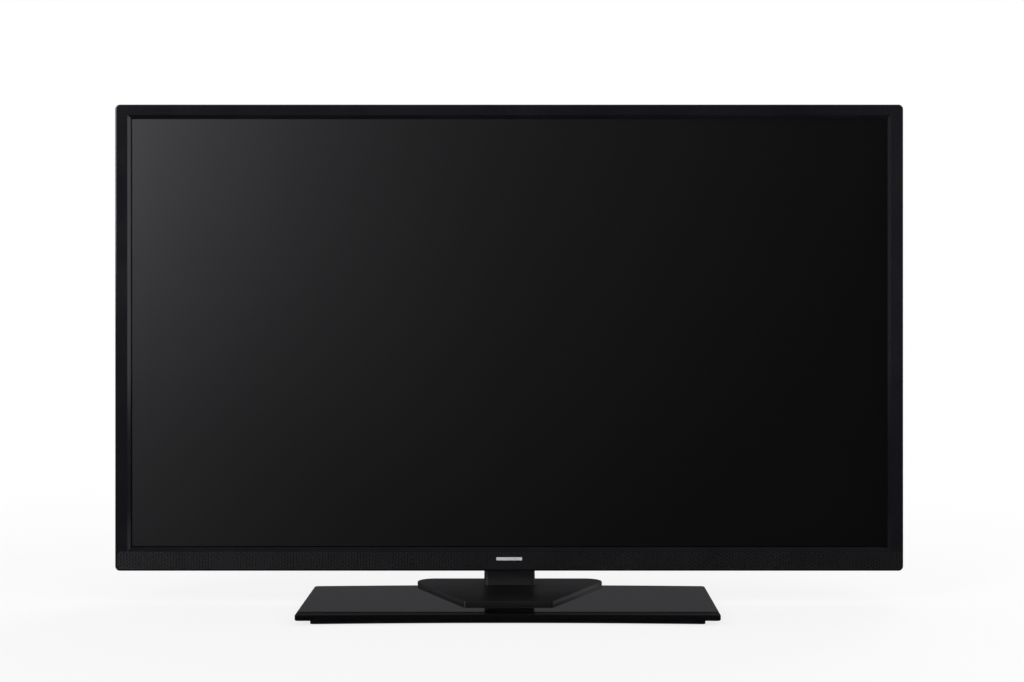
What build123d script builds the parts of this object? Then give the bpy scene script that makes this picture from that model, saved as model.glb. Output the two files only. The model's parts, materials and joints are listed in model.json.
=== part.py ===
from build123d import *
import os

os.makedirs("parts", exist_ok=True)

# A 40 inch flat screen television on a glass foot. Millimetres, +X to the viewer's right,
# +Y away from the viewer, +Z up. The origin is on the floor under the middle of the foot.

# Driving sizes
active_width = 885.6  # the picture of a 40 inch 16:9 panel
active_height = 498.2
glass_width = 464.6
glass_depth = 190.0
glass_thickness = 6.0
set_clearance = 26.0  # glass top to the lower edge of the cabinet
set_setback = 140.0  # front corners of the glass to the face of the cabinet
wall = 2.4  # moulded cabinet walls
steel = 1.0  # pressed steel of the backlight pan
fit_gap = 0.3  # assembly clearance between neighbouring pieces
overrun = 2.0  # how far a cut runs past the face that it breaks through

# Cabinet front
reveal = 0.9  # dark strip between picture and bevel
bevel = 4.2  # sloping inner edge, as wide as it is deep
side_border = 11.4
top_border = 12.2
bottom_border = 22.9
bezel_corner = 5.5
bezel_edge_round = 1.4
bezel_depth = 16.0
front_wall = 2.6
lip_land = 0.4  # flat left behind the bevel
lip_wall = 1.6

# Foot
foot_drop = 1.0  # how far the rubber stands out below the tray
tray_thickness = 4.5
glass_bow = 7.0  # both long edges arch backwards by this much
tail_overhang = 24.6  # stand plate beyond the middle of the glass's rear edge

# Levels and depths that follow
lip_depth = bevel + lip_land
outer_width = active_width + 2 * (reveal + bevel + side_border)
outer_height = active_height + 2 * (reveal + bevel) + top_border + bottom_border
tray_bottom_z = foot_drop
glass_bottom_z = tray_bottom_z + tray_thickness
glass_top_z = glass_bottom_z + glass_thickness
cabinet_bottom_z = glass_top_z + set_clearance
cabinet_top_z = cabinet_bottom_z + outer_height
cabinet_mid_z = (cabinet_bottom_z + cabinet_top_z) / 2
picture_bottom_z = cabinet_bottom_z + bottom_border + bevel + reveal
picture_top_z = picture_bottom_z + active_height
picture_mid_z = (picture_bottom_z + picture_top_z) / 2
overall_depth = glass_depth + glass_bow + tail_overhang
glass_front_y = -overall_depth / 2
glass_back_y = glass_front_y + glass_depth
tail_back_y = overall_depth / 2
cabinet_front_y = glass_front_y + set_setback


def save(built, name):
    built.part.label = name
    export_step(built.part, f"parts/{name}.step")


def depth_y(depth):
    # Depths inside the set are counted backwards from the cabinet's face.
    return cabinet_front_y + depth


def plane_at(depth):
    # Sketch x is the set's X, sketch y is its Z, and a negative extrusion goes backwards.
    return Plane(origin=(0, depth_y(depth), 0), x_dir=(1, 0, 0), z_dir=(0, -1, 0))


def block(x, depth, z, mode=Mode.ADD):
    # A box between two values on each axis, with Y counted as depth from the cabinet's face.
    centre = (sum(x) / 2, depth_y(sum(depth) / 2), sum(z) / 2)
    with Locations(centre):
        Box(abs(x[1] - x[0]), abs(depth[1] - depth[0]), abs(z[1] - z[0]), mode=mode)


def rod(x, z, depth, radius, mode=Mode.ADD):
    # A round bar or hole along Y between two depths.
    with Locations(Location((x, depth_y(sum(depth) / 2), z), (90, 0, 0))):
        Cylinder(radius, abs(depth[1] - depth[0]), mode=mode)


def upright_rod(x, depth, z, radius, mode=Mode.ADD):
    # A round bar or hole along Z between two heights.
    with Locations((x, depth_y(depth), sum(z) / 2)):
        Cylinder(radius, abs(z[1] - z[0]), mode=mode)


def cross_rod(x, depth, z, radius, mode=Mode.ADD):
    # A round bar or hole along X between two values.
    with Locations(Location((sum(x) / 2, depth_y(depth), z), (0, 90, 0))):
        Cylinder(radius, abs(x[1] - x[0]), mode=mode)


def ring_sheet(outer, inner, depth, middle_z):
    # A flat rectangular ring between two depths.
    with BuildPart() as made:
        with BuildSketch(plane_at(depth[0])):
            with Locations((0, middle_z)):
                Rectangle(*outer)
                Rectangle(*inner, mode=Mode.SUBTRACT)
        extrude(amount=depth[0] - depth[1])
    return made.part


def dish(front, back, depth, thickness, middle_z):
    # An open pressed tray with sloping sides: front and back are (width, height) of its outside.
    with BuildPart() as made:
        with BuildSketch(plane_at(depth[0])):
            with Locations((0, middle_z)):
                Rectangle(*front)
        with BuildSketch(plane_at(depth[1])):
            with Locations((0, middle_z)):
                Rectangle(*back)
        loft(ruled=True)
        with BuildSketch(plane_at(depth[0])):
            with Locations((0, middle_z)):
                Rectangle(front[0] - 2 * thickness, front[1] - 2 * thickness)
        with BuildSketch(plane_at(depth[1] - thickness)):
            with Locations((0, middle_z)):
                Rectangle(back[0] - 2 * thickness, back[1] - 2 * thickness)
        loft(ruled=True, mode=Mode.SUBTRACT)
    return made.part


# Case screws: bosses stand just inside the cabinet wall
case_boss_radius = 3.4
case_boss_merge = 0.6  # how far a boss runs into the wall beside it
case_pilot_radius = 1.2
case_pilot_floor = 5.0  # depth where the pilot hole ends
corner_screw_inset = 36.0
case_boss_x = outer_width / 2 - wall - case_boss_radius + case_boss_merge
case_boss_top_z = cabinet_top_z - wall - case_boss_radius + case_boss_merge
case_boss_bottom_z = cabinet_bottom_z + wall + case_boss_radius - case_boss_merge
corner_screw_x = outer_width / 2 - corner_screw_inset
side_screw_share = 0.22  # of the cabinet's height, above and below its middle
side_screw_rise = outer_height * side_screw_share
case_screw_places = (
    [(corner_screw_x * k / 2, case_boss_top_z) for k in (-2, -1, 0, 1, 2)]
    + [(corner_screw_x * k / 3, case_boss_bottom_z) for k in (-3, -1, 1, 3)]
    + [(case_boss_x * k, cabinet_mid_z + side_screw_rise * m) for k in (-1, 1) for m in (-1, 1)]
)

# The cell that shows the picture, its soft seal, and the stack behind it
gasket_thickness = 0.5
gasket_width = 3.2
gasket_margin = 1.5
polarizer_margin = 4.6
polarizer_thickness = 0.2
cell_margin = 5.0
cell_thickness = 1.5
ribbon_ledge = 2.4  # strip of the rear glass that the front glass leaves open
frame_wall = 2.1
frame_play = 0.4
frame_ledge = 2.0
frame_wrap = 3.0  # the frame's wall reaches this far behind the pan's flange
ledge_margin = 1.5
film_margin = 3.5
film_thickness = 0.25
film_gap = 0.05
film_count = 3
diffuser_margin = 4.0
diffuser_thickness = 2.0
pan_margin = 1.4
pan_slope = 18.0  # the pan's floor is this much smaller than the picture on every side
light_box_depth = 17.8  # from the diffuser to the back of the pan
film_pitch = film_thickness + film_gap
cell_front = lip_depth + gasket_thickness
cell_back = cell_front + cell_thickness
ledge_depth = cell_front + (cell_thickness + polarizer_thickness) / 2
film_front = cell_back + frame_ledge
diffuser_front = film_front + film_count * film_pitch
pan_front = diffuser_front + diffuser_thickness
pan_back = pan_front + light_box_depth
frame_back = pan_front + steel + frame_wrap
frame_margin = cell_margin + frame_play + frame_wall
pan_flange_margin = cell_margin + frame_play - fit_gap
cell_half_width = active_width / 2 + cell_margin
cell_bottom_z = picture_bottom_z - cell_margin
frame_half_width = active_width / 2 + frame_margin
frame_bottom_z = picture_bottom_z - frame_margin
frame_top_z = picture_top_z + frame_margin


def picture_size(margin):
    return (active_width + 2 * margin, active_height + 2 * margin)


def picture_sheet(margin, depth):
    with BuildPart() as made:
        with BuildSketch(plane_at(depth[0])):
            with Locations((0, picture_mid_z)):
                Rectangle(*picture_size(margin))
        extrude(amount=depth[0] - depth[1])
    return made.part


# Ribs in the bezel around the cell's frame
rib_thickness = 1.6
rib_back = 14.6
rib_side_inset = 60.0
rib_row_count = 6  # along the top
lower_rib_inset = 12.0
lower_rib_x = frame_half_width - lower_rib_inset
frame_rib_xs = [
    -outer_width / 2 + rib_side_inset + k * (outer_width - 2 * rib_side_inset) / (rib_row_count - 1)
    for k in range(rib_row_count)
]
frame_rib_zs = [picture_mid_z + m * outer_height / 3 for m in (-1, 0, 1)]

# Light: bars with a chip and a lens at each place
led_bar_count = 4
led_bar_length = 800.0
led_bar_height = 14.0
led_board_thickness = 1.0
led_count = 9  # on each bar
led_chip = 3.0
led_chip_rise = 0.8
reflector_thickness = 0.4
reflector_inset = 1.6
reflector_gap = 0.3
reflector_hole_radius = 8.4
lens_radius = 7.5
lens_height = 6.4
lens_dimple = 1.6
lens_skirt = 2.6
lens_peg = 1.5
lens_room_radius = 2.6
lens_chip_room = 2.6
lens_crown_share = 0.55
lens_peg_circle = 5.4
lens_peg_radius = 0.8
lens_peg_count = 3
post_foot_radius = 3.6
post_tip_radius = 0.9
led_board_front = pan_back - steel - led_board_thickness
reflector_back = led_board_front - reflector_gap
post_front = pan_front + fit_gap
post_back = reflector_back - reflector_thickness
led_pitch = led_bar_length / led_count
led_bar_zs = [picture_bottom_z + (k + 1 / 2) * active_height / led_bar_count for k in range(led_bar_count)]
led_places = [(led_pitch * (k - (led_count - 1) / 2), z) for z in led_bar_zs for k in range(led_count)]
diffuser_post_places = [
    (k * led_pitch * 2, picture_mid_z + m * active_height / led_bar_count)
    for k in (-1, 0, 1) for m in (-1, 0, 1)
]

# Textured strip along the chin, set into the bezel's face, with a plain bar on it
strip_inset = 2.2
strip_thickness = 0.8
strip_gap = 0.15
badge_width = 30.0
badge_height = 3.6
badge_thickness = 0.5
badge_corner = 0.6
badge_rise = 14.2  # middle of the bar above the cabinet's lower edge
strip_height = bottom_border - strip_inset - 2 * strip_gap
strip_width = outer_width - 2 * strip_inset
strip_corner = bezel_corner - strip_inset
strip_bottom_z = cabinet_bottom_z + strip_inset

# Remote receiver and its lamp, behind the strip
receiver_x = 394.0
receiver_window_radius = 3.4
receiver_board_length = 42.0
receiver_board_height = 10.0
receiver_board_thickness = 1.2
receiver_depth = 9.0  # front of its board
receiver_dome_radius = 2.8
receiver_dome_rise = 5.8
receiver_post_spread = 16.0
lamp_spacing = 9.5
lamp_hole_radius = 1.9
lamp_radius = 1.5
lamp_rise = 6.0
receiver_z = cabinet_bottom_z + bottom_border / 2
lamp_x = receiver_x - lamp_spacing

# Board that feeds the cell, below its lower edge, and the ribbons between them
source_board_length = 620.0
source_board_height = 9.6
source_board_thickness = 1.0
source_connector_height = 5.0
source_connector_depth = 2.2
connector_side = 2.5
ribbon_count = 8
ribbon_width = 40.0
ribbon_thickness = 0.15
ribbon_lap = 3.5  # how far a ribbon lies on its board
ribbon_play = 0.1
ribbon_side_gap = 2.0
rest_radius = 2.0
rest_inset = 2.6
source_board_front = ledge_depth
source_board_top_z = frame_bottom_z - fit_gap
source_board_bottom_z = source_board_top_z - source_board_height
source_connector_back = source_board_front + source_board_thickness + source_connector_depth
ribbon_pitch = source_board_length / ribbon_count
ribbon_xs = [ribbon_pitch * (k - (ribbon_count - 1) / 2) for k in range(ribbon_count)]
source_rest_xs = [ribbon_pitch * k for k in (-3, -1, 1, 3)]

# Rear cover: a thin rim behind the bezel and a bulge over the boards
rim_inset = 1.5
rim_back = 33.0
rim_edge_round = 0.5
bulge_back = 75.0
bulge_width_front = 700.0
bulge_width_back = 660.0
bulge_bottom_rise = 41.0  # above the cabinet's lower edge, at the rim
bulge_bottom_draft = 4.0
bulge_top_drop_front = 92.0  # below the cabinet's upper edge
bulge_top_drop_back = 142.0
bulge_corner_round = 9.0
bulge_edge_round = 3.5
bulge_bottom_z = cabinet_bottom_z + bulge_bottom_rise
bulge_bottom_back_z = bulge_bottom_z + bulge_bottom_draft
bulge_top_z = cabinet_top_z - bulge_top_drop_front
bulge_top_back_z = cabinet_top_z - bulge_top_drop_back
rim_inner_back = rim_back - wall
bulge_inner_back = bulge_back - wall

# Boards on standoffs behind the pan
standoff_height = 6.0
standoff_radius = 3.2
board_thickness = 1.6
m3_radius = 1.45
m3_thread_gap = 0.03
m3_hole_gap = 0.25
m3_head_radius = 2.8
m3_head_height = 1.9
m3_engagement = 4.6
board_front = pan_back + standoff_height
board_back = board_front + board_thickness

# Main board, to the viewer's left, and the sockets' recesses in the cover beside it
main_board_left_x = -288.8
main_board_right_x = -112.0
main_board_bottom_z = 153.4
main_board_top_z = 320.0
main_board_arm_x = -60.0  # the arm above the wall mount boss ends here
main_board_arm_z = 228.0
socket_overhang = 3.2
socket_set_in = 0.2
socket_hole_gap = 0.4
recess_wall_z = main_board_bottom_z - socket_overhang - socket_set_in
recess_wall_x = main_board_left_x - socket_overhang - socket_set_in
lower_recess_left_x = -212.0
lower_recess_play = 6.0
lower_recess = (lower_recess_left_x, main_board_right_x + lower_recess_play)
side_recess = (180.0, 318.0)

# Flat cable from the source board to the main board
cable_x = -78.0
cable_width = 26.0
cable_thickness = 0.3
cable_bend = 2.2
cable_end_drop = 3.4
cable_rise_drop = 16.0
cable_socket_gap = 3.0
cable_rise_z = main_board_arm_z - cable_rise_drop
cable_turn_z = main_board_arm_z - cable_socket_gap
cable_socket_z = main_board_arm_z + cable_socket_gap
cable_start = source_board_front + source_board_thickness + source_connector_depth
cable_wall_gap = 0.5
cable_points = [
    (depth_y(cable_start), source_board_top_z - cable_end_drop),
    (depth_y(pan_back + cable_wall_gap), source_board_top_z - cable_end_drop),
    (depth_y(pan_back + cable_wall_gap), cable_rise_z),
    (depth_y(board_back + cable_wall_gap * 2), cable_turn_z),
    (depth_y(board_back + cable_wall_gap * 2), cable_socket_z),
]

# Stand: neck, core and bracket
neck_width = 60.0
neck_depth = 35.0
neck_front_depth = 35.0  # behind the cabinet's face
neck_wall = 2.0
neck_corner = 5.0
neck_slot_gap = 0.5
neck_reach = 3.0  # inside the bulge
core_width = 54.0
core_steel = 2.5
core_side_depth = 20.0
core_top_z = 143.0
bracket_steel = 1.6
bracket_height_z = 56.0
bracket_hat_width = 62.0
bracket_foot_width = 17.0
bracket_standing = 9.0  # pan to the core's face
bracket_screw_radius = 1.9
bracket_thread_gap = 0.03
bracket_nut = 3.0
bracket_head_radius = 3.4
bracket_head_height = 2.4
bracket_bottom_z = core_top_z - bracket_height_z
bracket_front = pan_back
core_front = bracket_front + bracket_standing
bracket_pilot_radius = bracket_screw_radius + bracket_thread_gap
bracket_screw_x = (bracket_hat_width + bracket_foot_width) / 2
bracket_screw_places = [
    (k * bracket_screw_x, bracket_bottom_z + bracket_height_z * (1 / 2 + m / 3))
    for k in (-1, 1) for m in (-1, 0, 1)
]

# Power board, to the viewer's right
power_board_left_x = 112.0
power_board_right_x = 289.0
power_board_bottom_z = 154.0
power_board_top_z = 310.0
inlet_x = 160.0
inlet_width = 24.0
inlet_depth = 17.0  # behind the board
inlet_length = 20.0
inlet_recess_side = 14.0

# Keys on the cover's side, to the viewer's right
key_wall_x = 318.0  # bottom of the recess that the keys stand in
key_recess_bottom_z = 236.0
key_count = 5
key_pitch = 20.0
key_width = 7.0
key_height = 12.0
key_corner = 1.6
key_rise = 1.3
key_gap = 0.25
key_flange = 1.2
key_flange_thickness = 1.0
key_rest_gap = 0.15
key_travel = 0.5
key_depth = 46.0  # middle of the keys, behind the cabinet's face
key_board_thickness = 1.2
key_board_depth = 16.0
key_board_overlap = 8.0
key_post = 5.0
switch_side = 6.0
switch_height = 2.5
switch_nib_radius = 1.6
key_end_margin = 24.0
key_recess_top_z = key_recess_bottom_z + 2 * key_end_margin + (key_count - 1) * key_pitch
key_zs = [key_recess_bottom_z + key_end_margin + k * key_pitch for k in range(key_count)]
key_names = ["key_power", "key_channel_down", "key_channel_up", "key_volume_down", "key_volume_up"]

# Wall mount: four threaded bosses from the pan to recesses in the cover
mount_spacing = 200.0
mount_bottom_z = 210.0
mount_boss_radius = 6.0
mount_hole_radius = 3.0  # M6
mount_hole_length = 20.0
mount_recess = 3.0
mount_recess_radius = 13.0
mount_hole_gap = 0.3
mount_places = [
    (k * mount_spacing / 2, mount_bottom_z + mount_spacing / 2 + m * mount_spacing / 2)
    for k in (-1, 1) for m in (-1, 1)
]

# Case screws and the columns that they pass through
case_thread_gap = 0.03
case_screw_radius = case_pilot_radius - case_thread_gap
case_column_radius = 4.4
case_hole_radius = 1.6
case_head_radius = 2.3
case_head_height = 1.9
case_head_gap = 0.3
case_head_sink = 2.5

# Vents
vent_width = 3.2
vent_pitch = 8.0
top_vent_height = 30.0
top_vent_count = 74
top_vent_rise = 10.0
back_vent_height = 26.0
back_vent_count = 18
back_vent_drop = 12.0
lower_vent_height = 24.0
lower_vent_count = 16
lower_vent_rise = 92.0
lower_vent_x = 205.0
vent_rows = [
    (0, bulge_top_back_z + top_vent_rise + top_vent_height / 2, top_vent_count, top_vent_height),
    (0, bulge_top_back_z - back_vent_drop - back_vent_height / 2, back_vent_count, back_vent_height),
    (-lower_vent_x, bulge_bottom_back_z + lower_vent_rise, lower_vent_count, lower_vent_height),
    (lower_vent_x, bulge_bottom_back_z + lower_vent_rise, lower_vent_count, lower_vent_height),
]
module_rib_length = 26.0
module_rib_thickness = 1.8

# Speakers: closed boxes that fire down through slots in the bulge's floor
speaker_x = 270.0
speaker_width = 108.0
speaker_depth = 34.0
speaker_height = 62.0
speaker_wall = 2.4
speaker_front = 36.5
speaker_floor_rise = 9.0  # above the bulge's lower edge
basket_length = 70.0
basket_width = 26.0
basket_flange = 1.2
basket_flange_length = 76.0
basket_flange_width = 30.0
basket_height = 17.0
basket_throat_radius = 10.6
basket_sheet = 0.8
magnet_radius = 12.5
magnet_height = 13.0
pole_radius = 5.2
basket_window = 24.0
voice_radius = 6.4
voice_thickness = 0.35
voice_gap = 0.5
voice_length = 14.0
cone_length = 54.0
cone_width = 13.0
cone_height = 8.0
cone_sheet = 0.7
cone_set_in = 0.3
surround_sheet = 0.5
surround_roll = 1.4
surround_edge_inset = 4.0
surround_roll_inset = 1.0
speaker_slot_width = 3.0
speaker_slot_count = 11
speaker_slot_pitch = 6.0
speaker_slot_length = 24.0
speaker_mid = speaker_front + speaker_depth / 2
speaker_floor_z = bulge_bottom_z + speaker_floor_rise
speaker_top_z = speaker_floor_z + speaker_height

# What stands on the main board
chip_thickness = 1.4
sink_side = 42.0
sink_base = 2.0
sink_fin = 1.2
sink_height = 12.0
sink_fin_count = 9
cable_socket_depth = 2.4
cable_socket_height = 5.0
harness_socket = 7.0
harness_width = 24.0
harness_z = 270.0
harness_wires = 9
harness_wire_radius = 0.7
harness_pitch = 2.3
harness_sag = 7.0
hdmi_width = 15.0
hdmi_height = 5.8
hdmi_length = 12.5
hdmi_shell = 0.5
hdmi_room = 10.0
hdmi_tongue = 0.9
hdmi_tongue_width = 11.8
hdmi_xs = [-178.0, -158.0]
lan_x = -137.0
lan_width = 16.0
lan_height = 13.4
lan_length = 21.0
lan_room_width = 11.8
lan_room_height = 7.6
lan_room = 13.0
lan_floor = 2.0
lan_latch = 6.4
tuner_x = -198.0
tuner_width = 13.0
tuner_height = 14.0
tuner_length = 42.0
coax_radius = 4.75
coax_wall = 0.8
coax_centre_radius = 2.0
coax_hole_radius = 0.5
coax_reach = 7.0
jack_width = 8.0
jack_height = 7.0
jack_length = 12.0
jack_wall = 1.0
jack_collar_radius = 3.0
jack_bore_radius = 1.8
jack_xs = [-120.0]
headphone_z = 306.0
usb_width = 13.2
usb_height = 6.4
usb_length = 14.0
usb_room = 12.0
usb_shell = 0.4
usb_tongue = 1.8
usb_tongue_width = 11.2
usb_zs = [266.0, 287.0]
card_width = 58.0
card_height = 7.4
card_length = 50.0
card_wall = 1.0
card_side = 2.0
card_end = 3.0
card_z = 220.0
chip_places = [(-205.0, 262.0, 27.0), (-170.0, 285.0, 12.0), (-170.0, 262.0, 12.0), (-150.0, 210.0, 14.0)]
standoff_inset = 7.0
main_standoff_places = [
    (main_board_left_x + standoff_inset, main_board_top_z - standoff_inset),
    (main_board_right_x - standoff_inset, main_board_top_z - standoff_inset),
    (main_board_arm_x - standoff_inset, main_board_top_z - standoff_inset),
    (main_board_left_x + standoff_inset, main_board_bottom_z + standoff_inset),
    (main_board_right_x - standoff_inset, main_board_bottom_z + standoff_inset * 5),
]

# What stands on the power board
transformer_height = 30.0
transformer_foot = 5.0
transformer_core_share = 0.32
transformer_coil_share = 0.36
transformer_places = [(205.0, 250.0, 40.0), (200.0, 196.0, 26.0)]
capacitor_height = 30.0
capacitor_round = 1.5
capacitor_places = [(262.0, 200.0, 9.0), (262.0, 224.0, 9.0), (140.0, 290.0, 6.5), (158.0, 290.0, 6.5)]
cooler_thickness = 3.0
cooler_height = 26.0
cooler_fin_count = 4
cooler_fin_pitch = 5.0
cooler_fin_reach = 7.0
cooler_places = [(234.0, 230.0, 55.0), (165.0, 215.0, 45.0)]
inlet_room_width = 17.0
inlet_room_depth = 8.8
inlet_room = 12.0
inlet_pin_spacing = 8.6
inlet_pin_radius = 1.2
inlet_pin_set_in = 2.0
power_standoff_places = [
    (power_board_left_x + standoff_inset, power_board_top_z - standoff_inset),
    (power_board_right_x - standoff_inset, power_board_top_z - standoff_inset),
    (power_board_left_x + standoff_inset, power_board_bottom_z + standoff_inset),
    (power_board_right_x - standoff_inset, power_board_bottom_z + standoff_inset),
]
standoff_places = main_standoff_places + power_standoff_places

# Holes in the cover for the sockets, each a little larger than what it lets through
lower_wall = (recess_wall_z - overrun, recess_wall_z + wall + socket_hole_gap)
side_wall = (recess_wall_x - overrun, recess_wall_x + wall + socket_hole_gap)
socket_holes = []
for x, width, height in (
    [(x, hdmi_width, hdmi_height) for x in hdmi_xs]
    + [(x, 2 * jack_collar_radius, jack_height) for x in jack_xs]
    + [(lan_x, lan_width, lan_height), (tuner_x, tuner_width, tuner_height),
       (inlet_x, inlet_width, inlet_depth)]
):
    reach = width / 2 + socket_hole_gap
    depth = (board_back - socket_hole_gap, board_back + height + socket_hole_gap)
    socket_holes.append(((x - reach, x + reach), depth, lower_wall))
for z, width, height in (
    [(z, usb_width, usb_height) for z in usb_zs]
    + [(headphone_z, 2 * jack_collar_radius, jack_height), (card_z, card_width, card_height)]
):
    reach = width / 2 + socket_hole_gap
    depth = (board_back - socket_hole_gap, board_back + height + socket_hole_gap)
    socket_holes.append((side_wall, depth, (z - reach, z + reach)))

# Key board, behind the keys
key_back_x = key_wall_x - wall - key_rest_gap - key_flange_thickness
switch_nib_x = key_back_x - key_travel - fit_gap
switch_body_x = switch_nib_x - fit_gap
key_board_x = switch_body_x - switch_height - key_board_thickness

# Screws of the stand: four through the neck's core, four through the foot
stand_screw_radius = 2.4
stand_thread_gap = 0.03
stand_hole_gap = 0.3
stand_head_radius = 4.4
stand_head_height = 2.6
access_gap = 1.0
neck_screw_spread = 32.0
neck_screw_pitch = 28.0
neck_screw_places = [
    (k * neck_screw_spread / 2, core_top_z - neck_screw_pitch * (m + 1 / 2))
    for k in (-1, 1) for m in (0, 1)
]
foot_screw_spread = 40.0
foot_screw_glass_depth = 45.0  # through the glass
foot_screw_tail_depth = 71.0  # through the tray's tail
glass_hole_gap = 2.2
foot_head_sink = 2.9
foot_screw_places = [
    (k * foot_screw_spread / 2, depth)
    for k in (-1, 1) for depth in (foot_screw_glass_depth, foot_screw_tail_depth)
]

# Foot: glass, tray and plate
glass_corner = 5.0
glass_edge = 0.7
tray_side_inset = 16.3
tray_front_inset = 6.0
tray_back_inset = 18.0
tray_corner = 4.0
tail_half_width = 86.0
tail_back_inset = 2.5
tail_glass_gap = 0.6
foot_radius = 7.0
foot_sink = 0.8
foot_seat_gap = 0.1
foot_x_inset = 20.0
foot_y_inset = 20.0
tail_foot_x = 66.0
tail_foot_y_inset = 9.5
plate_thickness = 4.0
plate_front_width = 100.0
plate_back_width = 245.0
plate_front_depth = 67.0  # behind the glass's front corners
plate_back_corner = 21.0
plate_front_corner = 3.0
plate_edge_round = 0.8
plate_skin = 1.2  # left above the core's foot
core_foot_side = 8.0
core_foot_back_depth = 80.0
core_fit_gap = 0.4
plate_bottom_z = glass_top_z
plate_top_z = plate_bottom_z + plate_thickness
core_foot_thickness = plate_thickness - plate_skin - fit_gap
tray_half_width = glass_width / 2 - tray_side_inset
foot_places = (
    [(k * (tray_half_width - foot_x_inset), y)
     for k in (-1, 1)
     for y in (glass_front_y + tray_front_inset + foot_y_inset,
               glass_back_y - tray_back_inset - foot_y_inset)]
    + [(k * tail_foot_x, tail_back_y - tail_back_inset - tail_foot_y_inset) for k in (-1, 1)]
)

with BuildPart() as front_bezel:
    with BuildSketch(plane_at(0)):
        with Locations((0, cabinet_mid_z)):
            RectangleRounded(outer_width, outer_height, bezel_corner)
    extrude(amount=-bezel_depth)
    with BuildSketch(plane_at(lip_depth)):
        with Locations((0, cabinet_mid_z)):
            RectangleRounded(outer_width - 2 * wall, outer_height - 2 * wall, bezel_corner - wall)
    extrude(amount=lip_depth - bezel_depth, mode=Mode.SUBTRACT)
    with BuildSketch(plane_at(0)):
        with Locations((0, picture_mid_z)):
            Rectangle(*picture_size(reveal))
    extrude(amount=-lip_depth, mode=Mode.SUBTRACT)
    face = front_bezel.faces().sort_by(Axis.Y)[0]
    chamfer(face.inner_wires()[0].edges(), bevel)
    face = front_bezel.faces().sort_by(Axis.Y)[0]
    fillet(face.outer_wire().edges(), bezel_edge_round)
    # Moulded channel behind the border, between the outer wall and the lip.
    with BuildSketch(plane_at(front_wall)):
        with Locations((0, cabinet_mid_z)):
            RectangleRounded(outer_width - 2 * wall, outer_height - 2 * wall, bezel_corner - wall)
        with Locations((0, picture_mid_z)):
            Rectangle(*picture_size(reveal + bevel + lip_wall), mode=Mode.SUBTRACT)
    extrude(amount=front_wall - lip_depth, mode=Mode.SUBTRACT)
    # Seat for the textured strip, with the receiver's window and the lamp's hole in its floor.
    with BuildSketch(plane_at(0)):
        with Locations((0, strip_bottom_z + strip_height / 2)):
            RectangleRounded(strip_width + 2 * strip_gap, strip_height + 2 * strip_gap, strip_corner)
    extrude(amount=-strip_thickness, mode=Mode.SUBTRACT)
    rod(receiver_x, receiver_z, (0, front_wall + overrun), receiver_window_radius, mode=Mode.SUBTRACT)
    rod(lamp_x, receiver_z, (0, front_wall + overrun), lamp_hole_radius, mode=Mode.SUBTRACT)
    # Rests for the source board, clear of its ribbons.
    for x in source_rest_xs:
        rod(x, source_board_bottom_z + rest_inset, (front_wall, source_board_front), rest_radius)
    # Posts for the receiver's board.
    for k in (-1, 1):
        rod(receiver_x + k * receiver_post_spread, receiver_z, (front_wall, receiver_depth), rest_radius)
    # Ribs that hold the cell's frame in the middle of the cabinet.
    for x in frame_rib_xs:
        block((x, x + rib_thickness), (front_wall, rib_back), (frame_top_z + fit_gap, cabinet_top_z - wall))
    for k in (-1, 1):
        for z in frame_rib_zs:
            side = (k * (frame_half_width + fit_gap), k * (outer_width / 2 - wall))
            block(side, (front_wall, rib_back), (z, z + rib_thickness))
        x = k * lower_rib_x
        block((x, x + rib_thickness), (front_wall, rib_back),
              (cabinet_bottom_z + wall, frame_bottom_z - fit_gap))
    for x, z in case_screw_places:
        rod(x, z, (front_wall, bezel_depth), case_boss_radius)
        rod(x, z, (case_pilot_floor, bezel_depth + overrun), case_pilot_radius, mode=Mode.SUBTRACT)
save(front_bezel, "front_bezel")

with BuildPart() as grille_strip:
    with BuildSketch(plane_at(0)):
        with Locations((0, strip_bottom_z + strip_height / 2)):
            RectangleRounded(strip_width, strip_height, strip_corner)
    extrude(amount=-strip_thickness)
save(grille_strip, "grille_strip")

with BuildPart() as badge:
    with BuildSketch(plane_at(-badge_thickness)):
        with Locations((0, cabinet_bottom_z + badge_rise)):
            RectangleRounded(badge_width, badge_height, badge_corner)
    extrude(amount=-badge_thickness)
save(badge, "badge")

# The cell and what feeds it
with BuildPart() as front_gasket:
    add(ring_sheet(picture_size(gasket_margin + gasket_width), picture_size(gasket_margin),
                   (lip_depth, cell_front), picture_mid_z))
save(front_gasket, "front_gasket")

with BuildPart() as front_polarizer:
    add(picture_sheet(polarizer_margin, (cell_front, cell_front + polarizer_thickness)))
save(front_polarizer, "front_polarizer")

with BuildPart() as lcd_cell:
    add(picture_sheet(cell_margin, (cell_front + polarizer_thickness, cell_back)))
    # The front glass stops short of the rear one, which leaves a ledge for the ribbons.
    block((-cell_half_width - overrun, cell_half_width + overrun),
          (cell_front, ledge_depth),
          (cell_bottom_z - overrun, cell_bottom_z + ribbon_ledge), mode=Mode.SUBTRACT)
save(lcd_cell, "lcd_cell")

with BuildPart() as cell_frame:
    add(ring_sheet(picture_size(frame_margin), picture_size(cell_margin + frame_play),
                   (lip_depth + fit_gap, frame_back), picture_mid_z))
    add(ring_sheet(picture_size(frame_margin), picture_size(ledge_margin),
                   (cell_back, film_front), picture_mid_z))
    for x in ribbon_xs:
        reach = ribbon_width / 2 + ribbon_side_gap
        block((x - reach, x + reach), (lip_depth, cell_back), (frame_bottom_z - overrun, cell_bottom_z),
              mode=Mode.SUBTRACT)
save(cell_frame, "cell_frame")

with BuildPart() as optical_films:
    for k in range(film_count):
        sheet_front = film_front + k * film_pitch
        add(picture_sheet(film_margin, (sheet_front, sheet_front + film_thickness)))
save(optical_films, "optical_films")

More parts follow.
